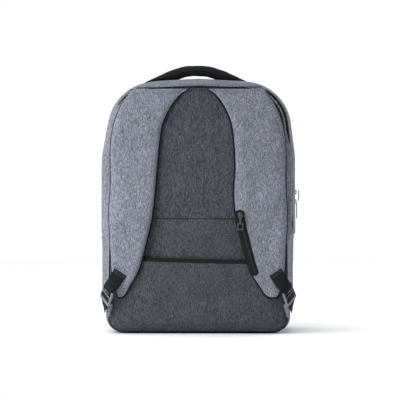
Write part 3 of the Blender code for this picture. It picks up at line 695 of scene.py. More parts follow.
def moulded(name, colour, rough=0.42, grain=1500, depth=0.00006, specular=0.5):
    """Injection-moulded plastic or rubber with a fine spark-eroded grain and scuffs."""
    made = Shader(name, rough, Specular_IOR_Level=specular)
    fine = made.grain(grain, 2, 0.6)
    scuff = made.grain(90, 4, 0.7, 5.0)
    made.colour(made.ramp(scuff, [(0.3, scaled(colour, 0.8)), (0.7, scaled(colour, 1.25))]))
    made.bump(fine, depth, 0.7)
    made.roughness(scuff, rough * 0.85, min(rough * 1.3, 1))
    return made.material


def plated(name, colour, rough=0.28):
    """Plated metal, worn a little brighter in patches."""
    made = Shader(name, rough, 1.0)
    wear = made.grain(420, 4, 0.7)
    brush = made.grain((3000, 3000, 240), 2, 0.5)
    made.colour(made.ramp(wear, [(0.35, scaled(colour, 0.75)), (0.7, scaled(colour, 1.5))]))
    made.bump(brush, 0.00003, 0.5)
    made.roughness(wear, rough * 0.7, rough * 1.5)
    return made.material


def knit(name, colour):
    """Black spacer mesh with small round holes."""
    made = Shader(name, 0.9, Sheen_Weight=0.03, Specular_IOR_Level=0.15)
    holes = made.cells(560, 0.12)
    made.colour(made.ramp(holes, [(0.25, scaled(colour, 0.3)), (0.5, colour)]))
    made.bump(holes, 0.0006, 0.8)
    return made.material


def solar_silicon():
    """Dark blue cells with fine silver fingers across them."""
    made = Shader("solar_silicon", 0.3, Specular_IOR_Level=0.5, Coat_Weight=0.25, Coat_Roughness=0.1)
    shade = made.grain(14, 3, 0.6)
    body = made.ramp(shade, [(0.3, (0.006, 0.008, 0.026)), (0.7, (0.012, 0.018, 0.055))])
    fingers = made.ramp(made.waves("Z", 0.0021), [(0.86, (0, 0, 0)), (0.95, (1, 1, 1))])
    made.colour(made.mix(made.maths("MULTIPLY", fingers, 0.5), body, (0.20, 0.22, 0.27, 1)))
    made.bump(fingers, 0.00003, 0.6)
    return made.material


def clear_film():
    """The dimpled film over the cells."""
    made = Shader("clear_film", 0.15, Alpha=0.10, Specular_IOR_Level=0.4)
    dimples = made.cells(900)
    made.colour(made.ramp(dimples, [(0.1, (0.02, 0.022, 0.03)), (0.6, (0.035, 0.04, 0.05))]))
    made.bump(dimples, 0.00004, 0.4)
    made.roughness(dimples, 0.22, 0.4)
    return made.material


LIGHT = melange("light_melange_cloth", (0.185, 0.197, 0.235))
DARK = melange("dark_melange_cloth", (0.060, 0.062, 0.073), 1.15, 0.05)
LINING = woven("lining_cloth", (0.035, 0.037, 0.043), 0.0008)
BLACK = woven("black_woven_tape", (0.0075, 0.0075, 0.0085), 0.0014, sheen=0.03)
NEOPRENE = woven("handle_cloth", (0.007, 0.007, 0.0085), 0.0009, sheen=0.02)
MESH = knit("strap_spacer_mesh", (0.008, 0.008, 0.009))
PLASTIC = moulded("black_satin_plastic", (0.016, 0.016, 0.018))
GREY = moulded("grey_satin_plastic", (0.17, 0.175, 0.195), 0.38)
RUBBER = moulded("black_soft_rubber", (0.018, 0.018, 0.018), 0.7, 900, 0.0001, 0.3)
METAL = plated("dark_plated_metal", (0.13, 0.13, 0.14), 0.35)
STEEL = plated("nickel_plated_steel", (0.55, 0.55, 0.54), 0.22)
COIL = moulded("zip_coil_nylon", (0.02, 0.02, 0.022), 0.35, 2500, 0.00003)
THREAD = woven("sewing_thread", (0.03, 0.031, 0.035), 0.0005)
PALE_THREAD = woven("grey_sewing_thread", (0.16, 0.17, 0.20), 0.0005)
SILICON = solar_silicon()
FILM = clear_film()

SLOTS = {finish.name: slot for slot, finishes in {
    "light_melange": (LIGHT,), "dark_melange": (DARK,), "lining": (LINING,),
    "black_webbing": (BLACK, NEOPRENE, MESH, THREAD, PALE_THREAD), "black_plastic": (PLASTIC, COIL),
    "black_rubber": (RUBBER,), "gunmetal": (METAL,), "steel": (STEEL,),
}.items() for finish in finishes}


# Camera, lights and floor

CAMERA_LENS = 180
CAMERA_AZIMUTH = 1.0
CAMERA_ELEVATION = 1.0
SENSOR = 36
VIEW_WIDTH = 0.682
VIEW_MIDDLE = Vector((0.0026, -0.035, 0.225))
WORLD_LIGHT = (0.97, 0.985, 1, 1)


def placed(name, data, place, towards):
    """Puts a camera or a light in the scene, looking along a direction."""
    made = bpy.data.objects.new(name, data)
    bpy.context.scene.collection.objects.link(made)
    made.location = place
    made.rotation_mode = "QUATERNION"
    made.rotation_quaternion = towards.to_track_quat("-Z", "Y")
    return made


def camera():
    view = bpy.data.cameras.new("camera")
    view.lens, view.sensor_width = CAMERA_LENS, SENSOR
    view.clip_start, view.clip_end = 0.05, 100
    turn, lift = math.radians(CAMERA_AZIMUTH), math.radians(CAMERA_ELEVATION)
    away = Vector((math.sin(turn) * math.cos(lift), -math.cos(turn) * math.cos(lift), math.sin(lift)))
    place = VIEW_MIDDLE + away * VIEW_WIDTH * CAMERA_LENS / SENSOR
    bpy.context.scene.camera = placed("camera", view, place, -away)


def lamp(name, kind, place, target, power, size):
    """A light that the camera doesn't see. Its size is an angle for a sun, or a disk's width."""
    data = bpy.data.lights.new(name, kind)
    data.energy = power
    if kind == "AREA":
        data.shape = "DISK"
        data.size = size
    else:
        data.angle = size
    placed(name, data, place, Vector(target) - Vector(place)).visible_camera = False


def backdrop():
    """A world that lights the scene softly and looks plain white to the camera."""
    world = bpy.data.worlds.new("studio")
    bpy.context.scene.world = world
    world.use_nodes = True
    made, links = world.node_tree.nodes, world.node_tree.links
    made.clear()
    path, mix, out = (made.new("ShaderNode" + kind) for kind in ("LightPath", "MixShader", "OutputWorld"))
    links.new(path.outputs["Is Camera Ray"], mix.inputs[0])
    for i, (colour, strength) in enumerate(((WORLD_LIGHT, 0.17), ((1, 1, 1, 1), 1.02)), 1):
        light = made.new("ShaderNodeBackground")
        light.inputs["Color"].default_value = colour
        light.inputs["Strength"].default_value = strength
        links.new(light.outputs[0], mix.inputs[i])
    links.new(mix.outputs[0], out.inputs[0])


def studio():
    """Soft light from above and from the left, a fill for the far side, and a pale floor."""
    bpy.context.scene.view_settings.view_transform = "Standard"
    backdrop()
    lamp("sky_panel", "SUN", (-0.7, -0.30, 2.0), (0, 0, 0), 2.9, math.radians(70))
    lamp("key", "AREA", (-0.62, -0.54, 0.32), (-0.05, 0, 0.2), 4.0, 0.55)
    lamp("rear_fill", "AREA", (1.6, 1.3, 0.9), (0, 0, 0.22), 27, 1.4)
    rings = [[(r * c, r * s, -0.0002) for c, s in circle(64)] for r in (0.02, 0.5, 1.2, 2.6)]
    finish = Shader("studio_floor", 0.9, Specular_IOR_Level=0.1)
    tone = finish.grain(3, 2, 0.5)
    finish.colour(finish.ramp(tone, [(0.3, (0.90, 0.90, 0.905)), (0.7, (0.92, 0.92, 0.92))]))
    floor = Build().grid(rings, around=True).add(rings[0], [tuple(range(64))])
    floor = floor.done("floor", [finish.material])
    if floor.data.polygons[0].normal.z < 0:
        floor.data.flip_normals()


# Cloth shell

def side_rows(curve, stations):
    return np.array([at_depth(curve(share, inset), y) for y, share, inset in stations])


def away_from_axis(rows):
    """Vectors from the middle of the bag's outline, for pushed()."""
    found = rows - np.array([0, 0, 0.215])
    found[..., 1] = 0
    return found


def seam_pucker(rows):
    """Small gathers that die out away from the first and the last row."""
    depth, pitch, reach = 0.0007, 0.011, 0.007
    run = np.linalg.norm(np.diff(rows[0], axis=0, prepend=rows[0][:1]), axis=1).cumsum()
    depth_run = lengths(rows[:, len(rows[0]) // 2])
    wave = np.sin(run * 2 * math.pi / pitch + 2.4 * np.sin(run * 23)) * (0.55 + 0.45 * np.sin(run * 41))
    fades = [np.exp(-distance / reach)[:, None] for distance in (depth_run, depth_run[-1] - depth_run)]
    return sum(fade * (wave[None] - 0.6) * depth for fade in fades)


def gusset(name, curve, stations, body, replaced, ring):
    """A band of the shell: slack cloth between two gathered seams."""
    rows = side_rows(curve, stations)
    t = np.linspace(0, 1, len(rows))
    amount = GUSSET_BULGE * np.sin(math.pi * t)[:, None] * np.ones(rows.shape[1])
    amount = amount + 0.0009 * ripple(rows, (11, 16, 9), 3.7) + 0.00035 * ripple(rows, (38, 50, 30), 8.1)
    edge = np.minimum(t, 1 - t)
    amount = amount * eased(0, 0.12, edge)[:, None]
    amount = amount + seam_pucker(rows)
    if ring:
        rows = np.concatenate([rows, rows[:, :1]], axis=1)
        amount = np.concatenate([amount, amount[:, :1]], axis=1)
    rows = pushed(rows, amount, away_from_axis)
    Build().grid(rows).cloth(name, LIGHT, away_from(BAG_MIDDLE), WALL - 0.0004, body, replaced,
                             weld=0.00025 if ring else 0)


def closed_line(curve, lift):
    """An arch or cup whose ends, moved off the flap line, are joined by a straight line."""

    def made(share, inset):
        points = [list(p) for p in curve(share, inset)]
        points[0][1] += lift
        points[-1][1] += lift
        return points

    return made


def face_panel(name, outline, middle, face_y, side, finish, body, replaced, crown, thickness, shape=None):
    """A sewn panel: an outline filled in rings, rolled at its rim and crowned in between."""
    rings = np.concatenate([[1.0, 0.995, 0.985, 0.97, 0.95, 0.92], np.linspace(0.88, 0.03, 34)])
    outline, middle = np.asarray(outline), np.asarray(middle)
    flat = np.array([middle + (outline - middle) * r for r in rings])
    x, z = flat[..., 0], flat[..., 1]
    rim = np.minimum(1, (1 - rings) / 0.07)[:, None]
    bow = PANEL_ROLL * (np.sqrt(np.clip(1 - (1 - rim) ** 2, 0, 1)) - 1)
    dome = crown * (1 - rings[:, None] ** 4)
    rows = np.stack([x, np.zeros_like(x), z], axis=2)
    soft = 0.0005 * ripple(rows, (14, 1, 10), 5.3) * rim + 0.0002 * ripple(rows, (55, 1, 40), 2.9)
    run = np.linalg.norm(np.diff(rows[0], axis=0, prepend=rows[0][:1]), axis=1).cumsum()
    pucker = 0.0005 * np.sin(run * 2 * math.pi / 0.010 + 2 * np.sin(run * 19))
    soft = soft + pucker[None] * np.exp(-(1 - rings) / 0.035)[:, None] * rim
    height = bow + dome + soft - 0.0006
    if shape is not None:
        height = height + shape(x, z)
    rows[..., 1] = face_y + side * height
    return Build().grid(rows, around=True, fan=True).cloth(
        name, finish, facing(0, side), thickness, body, replaced, weld=0.00002)


def back_panel_shape(x, z):
    """The sewn line across the panel, the lining's step below it, and a patch by the handle."""
    tuck = -0.0012 * np.exp(-((z - BACK_SEAM_Z) / 0.0012) ** 2) * (np.abs(x) < 0.140)
    step = 0.0004 * (1 - eased(BACK_SEAM_Z - 0.0015, BACK_SEAM_Z + 0.0005, z)) - 0.0003
    patch = np.maximum(np.abs(x - 0.0015) / 0.0145, np.abs(z - 0.3845) / 0.0045)
    outline = -0.0004 * np.exp(-((patch - 1) / 0.12) ** 2)
    return tuck + step + outline


def rim_inset(y):
    """How far a gusset draws in as it turns over to the solar side."""
    return RIM_INSET * max(0, (y - (FRONT_PLANE - RIM_DEPTH)) / RIM_DEPTH) ** 2


def shell():
    """The four sides, the panels at the back and the front, and the seam across the back."""
    ring = dense(whole, True)
    top = dense(arch, False)
    bottom = dense(cup, False)
    rear = ZIP_Y - GAP / 2 - TAPE
    depths = np.concatenate([np.linspace(0, 0.02, 10), np.linspace(0.0235, rear - GAP - GUSSET_Y, 8)])
    stations = [(GUSSET_Y + d, along(SEAM_TO_SIDE, d), 0) for d in depths]
    gusset("rear_gusset_cloth", ring, stations, "bag", "rear_gusset", True)
    panel = face_panel("back_panel_pad", ring(0.0, 0.0), (0, 0.22), BACK_Y, -1, DARK, "bag",
                       "back_panel", 0.0004, 0.0048, back_panel_shape)
    seam = [(x, BACK_Y - 0.0001, BACK_SEAM_Z) for x in np.linspace(-0.139, 0.139, 60)]
    Build().tube(seam, 0.0004, (0, 0, 1)).laid("back_panel_seam", BLACK, "bag")

    depths = np.concatenate([np.linspace(rear, FRONT_PLANE - RIM_DEPTH, 14)[:-1],
                             FRONT_PLANE - RIM_DEPTH * (1 - np.linspace(0, 1, 9))])
    stations = [(min(y, FRONT_PLANE - GAP), 1, rim_inset(y)) for y in depths]
    gusset("lower_gusset_cloth", bottom, stations, "bag", "lower_gusset", False)
    stations = [(y, 1, rim_inset(inset_y)) for y, inset_y in
                zip(np.linspace(TAPE + GAP * 1.5, FRONT_PLANE - GAP, 18), np.linspace(0.0125, 0.0567, 18))]
    gusset("front_gusset_cloth", top, stations, "front_flap", "front_gusset", False)

    for name, curve, lift, middle_z, body, node in (
        ("front_panel_cloth", arch, GAP, 0.30, "front_flap", "front_panel"),
        ("lower_front_cloth", cup, -GAP, 0.09, "bag", "lower_front_panel"),
    ):
        outline = dense(closed_line(curve, lift), True)(1, FRONT_ROUND * 0.8)
        face_panel(name, outline, (0, middle_z), FRONT_Y, 1, LIGHT, body, node, 0.0002, 0.004)
    return ring, top, bottom


def over_straps(ring, x):
    """A point of the straight seam that closes the tops of the straps, lying on the gusset."""
    wanted = 0.4148 + 0.008 * (x + 0.108)
    for depth in np.arange(0, 0.012, 0.0005):
        outline = np.array([p for p in ring(along(SEAM_TO_SIDE, depth), 0) if p[1] > 0.36])
        z = np.interp(x, outline[:, 0], outline[:, 1])
        if z > wanted:
            z = wanted
            break
    flat = BACK_Y + 0.006 * (1 - eased(0.06, 0.02, abs(x)))
    return x, min(GUSSET_Y + depth, flat) - 0.0016, z


def piping(ring, top, bottom):
    """Cords in the seams round the back panel, over the straps and round the solar side, and
    the tape over the flap's hinge."""
    path = resampled(at_depth(ring(0.05, -0.0006), BACK_Y + 0.0030), 0.004, True)
    Build().tube(path, 0.0009, closed=True).laid("back_seam_piping", BLACK, "bag")
    path = np.array([over_straps(ring, x) for x in np.linspace(-0.1045, 0.1075, 60)])
    thick = 0.0007 + 0.0008 * np.exp(-((path[:, 0] - 0.003) / 0.019) ** 4)
    Build().tube(path, thick).laid("strap_seam_piping", BLACK, "bag")
    for name, curve, body, lift in (("flap_seam_piping", top, "front_flap", 0.0012),
                                    ("lower_seam_piping", bottom, "bag", -0.0012)):
        path = at_depth(curve(1, RIM_INSET), FRONT_PLANE + 0.0012)
        path[[0, -1], 2] += lift
        Build().tube(resampled(path, 0.004), 0.0012).laid(name, BLACK, body)
    hinge = [(x, FRONT_Y - 0.0003, FLAP_Z - 0.0001) for x in np.linspace(-0.157, 0.157, 60)]
    band = Build().sweep(hinge, rounded_section(0.011, 0.0012), (0, 0, 1))
    piece = band.laid("flap_hinge_tape", BLACK, None)
    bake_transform(piece)


def main_zip(top):
    """Two tapes with the coil between them, over the whole arch."""
    for part, low, high, body, half in (
        ("rear", ZIP_Y - GAP / 2 - TAPE, ZIP_Y - 0.0006, "bag", -1),
        ("front", ZIP_Y + 0.0006, ZIP_Y + GAP / 2 + TAPE, "front_flap", 1),
    ):
        rows = side_rows(top, [(y, 1, 0.0004 + 0.0009 * eased(0.004, 0.0, abs(y - ZIP_Y)))
                               for y in np.linspace(low, high, 9)])
        rows = pushed(rows, 0.00012 * ripple(rows, (90, 90, 90), 1.7), away_from_axis)
        if half == 1:
            rows[:, [0, -1], 2] += GAP
        Build().grid(rows).cloth(f"main_zip_{part}_tape", BLACK, away_from(BAG_MIDDLE), 0.0011, body,
                                 f"main_zip_{part}")
        coil = Build().teeth(at_depth(top(1, 0.0006), ZIP_Y), (0, 1, 0), 0.0021, 0.0036, half)
        coil.laid(f"main_zip_{part}_coil", COIL, body)
        seam_y = ZIP_Y + half * (TAPE - 0.0022)
        path = at_depth(top(1, -0.0002), seam_y)
        normal = resampled(path, 0.0036) - np.array([0, seam_y, 0.25])
        threads = Build().stitches(path, normal, 0.0036, 0.0025)
        threads.laid(f"main_zip_{part}_stitches", THREAD, body)


def crease_shade(ring):
    """Painted shade of deep creases in the right gusset beside the strap, where the cloth is caught in the
    seam: black spindles sunk in the cloth.
    """
    build = Build()
    for (x, z), (end_x, end_z), wide in (((0.1478, 0.214), (0.1466, 0.180), 0.0013),
                                         ((0.1500, 0.186), (0.1484, 0.160), 0.0018),
                                         ((0.1592, 0.200), (0.1590, 0.171), 0.0015)):
        path = []
        for t in np.linspace(0, 1, 14):
            at_x, at_z = x + (end_x - x) * t, z + (end_z - z) * t
            depth = min(np.linspace(0, 0.026, 53), key=lambda d: abs(side_x(ring, d, at_z) - at_x))
            path.append((at_x, GUSSET_Y + depth - 0.0004, at_z))
        swell = np.sqrt(np.clip(np.sin(np.linspace(0.03, math.pi - 0.03, 14)), 0, 1))[:, None, None]
        build.sweep(path, circle(8) * (wide, 0.0008) * swell, (1, 0, 0))
    # each crease is a black spindle of painted shade, not cloth
    build.laid("gusset_crease_shade", BLACK, "bag")


def side_x(ring, depth, z):
    """Distance of the right gusset from the middle at a height."""
    outline = np.array([p for p in ring(along(SEAM_TO_SIDE, depth), 0) if p[0] > 0.12 and 0.1 < p[1] < 0.3])
    order = np.argsort(outline[:, 1])
    return np.interp(z, outline[order, 1], outline[order, 0])


def laptop_zip(ring):
    """The zip of the laptop sleeve in the rear gusset, in sight at the two upper corners."""
    for name, low_z, side in (("left", 0.382, -1), ("right", 0.321, 1)):
        rows = []
        for t in np.linspace(0, 1, 5):
            depth = LAPTOP_ZIP[0] + (LAPTOP_ZIP[1] - LAPTOP_ZIP[0]) * t
            line = ring(along(SEAM_TO_SIDE, depth), -0.0003 - 0.0006 * math.sin(math.pi * t))
            rows.append(at_depth(line, GUSSET_Y + depth))
        rows = np.array(rows)
        rows = rows[:, [i for i, p in enumerate(rows[2]) if side * p[0] > 0.107 and p[2] > low_z]]
        count = np.arange(rows.shape[1])
        taper = np.clip(np.minimum(count, count[::-1]) / 5.0, 0.12, 1)[None, :, None]
        rows = rows[2:3] + (rows - rows[2:3]) * taper
        Build().grid(rows).cloth(f"laptop_zip_tape_{name}", BLACK, away_from(BAG_MIDDLE), 0.001, "bag",
                                 inner=BLACK)
        path = rows[2] + (rows[2] - np.array([0, 0.04, 0.25])) * 0.003
        run = lengths(resampled(path, LAPTOP_PITCH / 2))
        across = columns(run, lengths(path), rows[3] - rows[1])
        Build().teeth(path, across, LAPTOP_PITCH, 0.0020).laid(f"laptop_zip_coil_{name}", COIL, "bag")


def base():
    """The stiffened black base, with a rounded rim and a sewn edge."""
    half_x, low_y, high_y, corner = 0.131, -0.060, 0.054, 0.030
    outline = []
    for x, y, start in ((half_x, high_y, 0), (-half_x, high_y, 90), (-half_x, low_y, 180),
                        (half_x, low_y, 270)):
        middle = np.array([x - math.copysign(corner, x), y - math.copysign(corner, y)])
        for turn in np.radians(start + 7.5 * np.arange(13)):
            outline.append(middle + corner * np.array([math.cos(turn), math.sin(turn)]))
    outline = resampled(outline, 0.006, True)
    rows = [[(x * share, -0.003 + (y + 0.003) * share, z) for x, y in outline] for share, z in
            ((0.0, 0.0), (0.5, 0.0), (0.975, 0.0), (0.992, 0.0005), (1.0, 0.0015), (0.992, 0.0026),
             (0.97, 0.0031))]
    merged(Build().grid(rows, around=True).laid("base_pad", BLACK, "bag", "base_panel"), 0.00001)


# Straps

def strap_inner(z, side):
    """Distance of a strap's inner edge from the middle. Both straps lean to the left."""
    return along(STRAP_INNER, z) - side * along(STRAP_LEAN, z)


def strap_back(z):
    over = POCKET_Y - GAP
    return over + (BACK_Y - GAP - over) * eased(0.128, 0.300, z)


def strap_thickness(z):
    tip = 0.005 + (STRAP_THICK - 0.005) * eased(STRAP_TIP, 0.100, z)
    return tip - (STRAP_THICK - 0.0028) * eased(0.370, STRAP_TOP, z)


def strap_section(z, side, front):
    """One station of a strap: a crowned outer pad (front) or the thin mesh backing behind it, whose black lip
    past the pad's inner edge is partly painted shade.
    """
    spread = STRAP_SPREAD * float(eased(0.07, 0.11, z) * (1 - eased(0.19, 0.27, z)))
    inner, outer = strap_inner(z, side), along(STRAP_OUTER, z) + spread
    back, thick = float(strap_back(z)), float(strap_thickness(z))
    middle, half = (inner + outer) / 2, (outer - inner) / 2
    if front:
        half -= 0.0002
        points = []
        for t in np.linspace(-1, 1, 25):
            crown = (1 - abs(t) ** 5) ** 0.42
            groove = math.exp(-(((1 - abs(t)) * (half + 0.0002) - 0.0052) / 0.0012) ** 2)
            points.append((t * half, thick * (0.38 + 0.66 * crown) - 0.00045 * groove))
        points += [(t * half, thick * 0.30) for t in (0.995, 0, -0.995)]
    else:
        # the backing stands out past the pad's inner edge: the mesh edge with painted shade along it, widened
        # near z 0.397 into painted shade under the strap's lifted top corner
        lip_and_shade = 0.0024 + 0.0016 * math.exp(-((z - 0.397) / 0.012) ** 2)
        inner, outer = -half - lip_and_shade, half + 0.0008
        points = [(inner, thick * 0.16), (inner, thick * 0.40), (outer, thick * 0.40), (outer, thick * 0.16),
                  (outer - 0.0012, thick * 0.02), (inner + 0.0012, thick * 0.02)]
    return [(side * (middle + x), back - depth, z) for x, depth in points]


def straps():
    """The two shoulder straps, each a crowned pad on a mesh backing, with its webbing and lock."""
    for side, name in ((-1, "left"), (1, "right")):
        body = f"{name}_strap"
        heights = np.concatenate([np.linspace(STRAP_TIP, 0.075, 7), np.linspace(0.0785, 0.395, 84),
                                  np.linspace(0.3985, STRAP_TOP + 0.0010, 7)])
        for part, front, finish in (("pad", True, LIGHT), ("backing", False, MESH)):
            rows = []
            # the backing starts 3 mm below the pad's tip: a black lip of the curled mesh underside and
            # painted shade under the tip
            for z in heights if front else [STRAP_TIP - 0.0030, STRAP_TIP - 0.0015, *heights]:
                at = min(max(z, STRAP_TIP), STRAP_TOP)
                row = np.array(strap_section(at, side, front))
                row[:, 2] = z
                row[:, 1] += max(z - at, 0) * 0.4
                start = STRAP_TIP - (0.0004 if front else 0.0034)
                shrink = math.sqrt(max(0.0, 1 - (1 - min(1, (z - start) / 0.009)) ** 2))
                row[:, 0] = row[:, 0].mean() + (row[:, 0] - row[:, 0].mean()) * (0.30 + 0.70 * shrink)
                rows.append(row)
            rows = np.array(rows)
            if front:
                soft = 0.00055 * ripple(rows, (24, 24, 13), 4.4 + side)
                soft += 0.0002 * ripple(rows, (90, 90, 45), 1.2)
                rows[:, 1:24, 1] -= soft[:, 1:24]
            piece = Build().grid(rows, around=True, caps=True)
            piece = piece.done(f"{name}_strap_{part}_cloth", [finish], 50)
            on_body(piece, None, finish, *([f"{name}_strap_pad"] if front else []))
            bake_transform(piece)
        z = STRAP_STITCH_Z
        path = [(side * x, float(strap_back(z)) - strap_thickness(z) * 1.035 - 0.0001, z)
                for x in np.linspace(strap_inner(z, side) + 0.006, along(STRAP_OUTER, z) - 0.006, 30)]
        threads = Build().stitches(path, (0, -1, 0), 0.0034, 0.0024)
        threads = threads.done(f"{name}_strap_top_stitches", [PALE_THREAD])
        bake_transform(threads)
        strap_end(name, side, body)
    strap_pocket()


def lock_axes(side):
    down = Vector((side * math.sin(LOCK_ROLL), 0, -math.cos(LOCK_ROLL)))
    across = Vector((side * math.cos(LOCK_ROLL), 0, math.sin(LOCK_ROLL)))
    turn = Matrix.Rotation(side * LOCK_YAW, 3, "Z")
    return down, across, turn @ down, turn @ across


def strap_end(name, side, body):
    """Webbing at the strap's lower end, the ladder lock, the adjuster webbing and its corner tab."""
    down, across, lock_down, lock_across = lock_axes(side)
    start = Vector((side * TAB_START.x, TAB_START.y, TAB_START.z))
    hinge = Vector((side * LOCK_HINGE.x, LOCK_HINGE.y, LOCK_HINGE.z))
    normal = lock_down.cross(lock_across).normalized()
    if normal.y > 0:
        normal = -normal
    # the sewn end lies on the pad, then the webbing turns over and goes round the lock's bar
    knots = [start + down * at + Vector((0, rise, 0)) for at, rise in
             ((-0.002, 0.0011), (0.006, 0.0010), (0.014, 0.0004), (0.022, -0.0008))]
    sides = [across] * 3 + [(across * 2 + lock_across).normalized()] + [lock_across] * 7
    middle = hinge + lock_down * 0.0023
    for a in np.radians((-30, 10, 50, 90, 130, 170)):
        knots.append(middle + normal * WRAP * math.cos(a) + lock_down * WRAP * math.sin(a))
    knots.append(middle - normal * 0.0016 - lock_down * 0.009)
    path, _, sides = ribbon_path(np.array(knots), sides, 0.0016)
    tab = Build().sweep(path, rounded_section(WEBBING * 0.96, 0.0014, 0.0001), sides)
    tab.laid(f"{name}_strap_end_webbing", BLACK, body, f"{name}_strap_tab")
    threads = Build()
    for at in (0.0005, 0.0035):
        middle = start + down * at + Vector((0, 0.0002, 0))
        line = [middle + across * end for end in (-0.0105, 0, 0.0105)]
        threads.stitches(line, (0, -1, 0), 0.0026, 0.0018)
    threads.laid(f"{name}_strap_end_stitches", PALE_THREAD, body)
    refinished(f"{name}_ladder_lock", GREY, EDGE)

    points = np.array([(side * x, y, z) for (x, y, z), _ in ADJUSTER])
    path, share, sides = ribbon_path(points, [(side * x, y, z) for _, (x, y, z) in ADJUSTER], 0.0016)
    sections = [rounded_section(WEBBING * (0.98 - 0.33 * at), 0.0015, 0.0001) for at in share]
    piece = Build().sweep(path, sections, sides)
    piece = piece.laid(f"{name}_adjuster_cloth", BLACK, None, f"{name}_adjuster_webbing")
    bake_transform(piece)
    tail = [tuple(hinge + lock_down * d - normal * n) for d, n in
            ((0.010, 0.0012), (0.013, -0.0024), (0.017, -0.0028), (0.020, 0.0005), (0.0215, 0.0026))]
    section = rounded_section(WEBBING * 0.96, 0.0013)
    strip = Build().sweep(smooth_path(tail, 0.0015), section, tuple(lock_across))
    strip.laid(f"{name}_adjuster_fold", BLACK, f"{name}_ladder_lock")
    corner_tab(name, side)


def corner_tab(name, side):
    """The stitched triangle of cloth that holds the adjuster webbing at the bag's corner."""
    corners = [(side * x, z, radius) for (x, z), radius in zip(CORNER_TAB, (0.003, 0.003, 0.002))]
    soft = []
    for i in range(3):
        before, here, after = corners[i - 1], corners[i], corners[(i + 1) % 3]
        soft += fillet(before[:2], here[:2], after[:2], here[2])
    soft = resampled(soft, 0.002, True)
    centre = soft.mean(0)
    rows = [at_depth(centre + (soft - centre) * share, POCKET_Y - GAP - out) for share, out in
            ((1.0, 0.0), (1.0, 0.0007), (0.94, 0.0013), (0.7, 0.0014), (0.3, 0.0015), (0.02, 0.0015))]
    tab = Build().grid(rows, around=True, caps=True)
    tab.laid(f"{name}_corner_tab_cloth", LIGHT, "bag", f"{name}_corner_tab")
    path = at_depth(centre + (soft - centre) * 0.78, POCKET_Y - GAP - 0.0014)
    threads = Build().stitches(path, (0, -1, 0), 0.0026, 0.0018)
    threads.laid(f"{name}_corner_tab_stitches", THREAD, "bag")


def strap_zip_line(low, high, above, aside=0.0, count=60):
    """A line over the strap pocket's zip, so far above the pad and to the side of the zip."""
    line = []
    for z in np.linspace(low, high, count):
        x = strap_inner(z, 1) + STRAP_ZIP_INSET + 0.013 / 2
        line.append((x + aside, float(strap_back(z)) - float(strap_thickness(z)) - above, z))
    return np.array(line)


def strap_pocket():
    """The zip of the small pocket in the right strap: tape with rounded ends, coil and stitches."""
    path = strap_zip_line(STRAP_ZIP_LOW - 0.001, STRAP_ZIP_TOP + 0.001, 0.0006, -0.0016)
    share = np.linspace(0, 1, 60)
    wide = 0.0140 + 0.0036 * share
    ends = np.sqrt(np.clip(1 - (1 - np.minimum(1, np.minimum(share, 1 - share) / 0.045)) ** 2, 0.02, 1))
    sections = [rounded_section(w * e, 0.0013) for w, e in zip(wide, ends)]
    tape = Build().sweep(path, sections, (1, 0, 0))
    tape.laid("strap_zip_tape", BLACK, "right_strap", "strap_pocket_zip")
    coil = Build().teeth(strap_zip_line(STRAP_ZIP_LOW + 0.004, 0.206, 0.0013), (1, 0, 0), 0.0018, 0.0034)
    coil.laid("strap_zip_coil", COIL, "right_strap")
    threads = Build()
    for aside in (-0.0047, 0.0047):
        line = strap_zip_line(STRAP_ZIP_LOW + 0.005, 0.203, 0.0012, aside, 40)
        threads.stitches(line, (0, -1, 0), 0.003, 0.002)
    threads.laid("strap_zip_stitches", THREAD, "right_strap")


# Handle

def handle():
    """Padded handle whose feet run down into the top seam."""
    top, under = ([(-x, z) for x, z in line[:0:-1]] + line for line in (HANDLE_TOP, HANDLE_UNDER))
    rows, seams = [], {-1: [], 1: []}
    for x in np.linspace(-HANDLE_HALF, HANDLE_HALF, 90):
        high, low = along(top, x), along(under, x)
        z, thick = (high + low) / 2, high - low
        wide = 0.028 * (1 - 0.16 * float(eased(0.045, 0.080, abs(x))))
        row = []
        for c, s in circle(28):
            squared = abs(c) ** 0.75 * math.copysign(1, c)
            pinch = 1 - 0.10 * math.exp(-((abs(c) - 0.93) / 0.04) ** 2)
            row.append((x + HANDLE_SHIFT, HANDLE_Y + wide / 2 * squared, z + thick / 2 * s * pinch))
        rows.append(row)
        for side in (-1, 1):
            seams[side].append((x + HANDLE_SHIFT, HANDLE_Y + side * (wide / 2 + 0.0002), z))
    rows = np.array(rows)
    crease = 0.0004 * ripple(rows, (75, 30, 30), 6.1) + 0.0003 * ripple(rows, (160, 60, 60), 2.2)
    rows = pushed(rows, crease, lambda r: r - r.mean(axis=1, keepdims=True))
    grip = Build().grid(rows, around=True, caps=True).done("handle_padded_grip", [NEOPRENE], 60)
    on_body(grip, None, NEOPRENE, "handle_grip", "handle_anchor_left", "handle_anchor_right")
    edge, threads = Build(), Build()
    for side in (-1, 1):
        edge.tube(seams[side], 0.0011, (0, 1, 0))
        line = [(x + HANDLE_SHIFT, HANDLE_Y + side * 0.0088, along(top, x) * 0.9 + along(under, x) * 0.1)
                for x in np.linspace(-0.083, 0.083, 80)]
        threads.stitches(line, (0, side * 0.5, 1), 0.0036, 0.0026, 0.0003)
    edge = edge.laid("handle_edge_piping", BLACK, None)
    threads = threads.laid("handle_stitches", THREAD, None)
    for piece in (grip, edge, threads):
        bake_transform(piece)


# Pockets

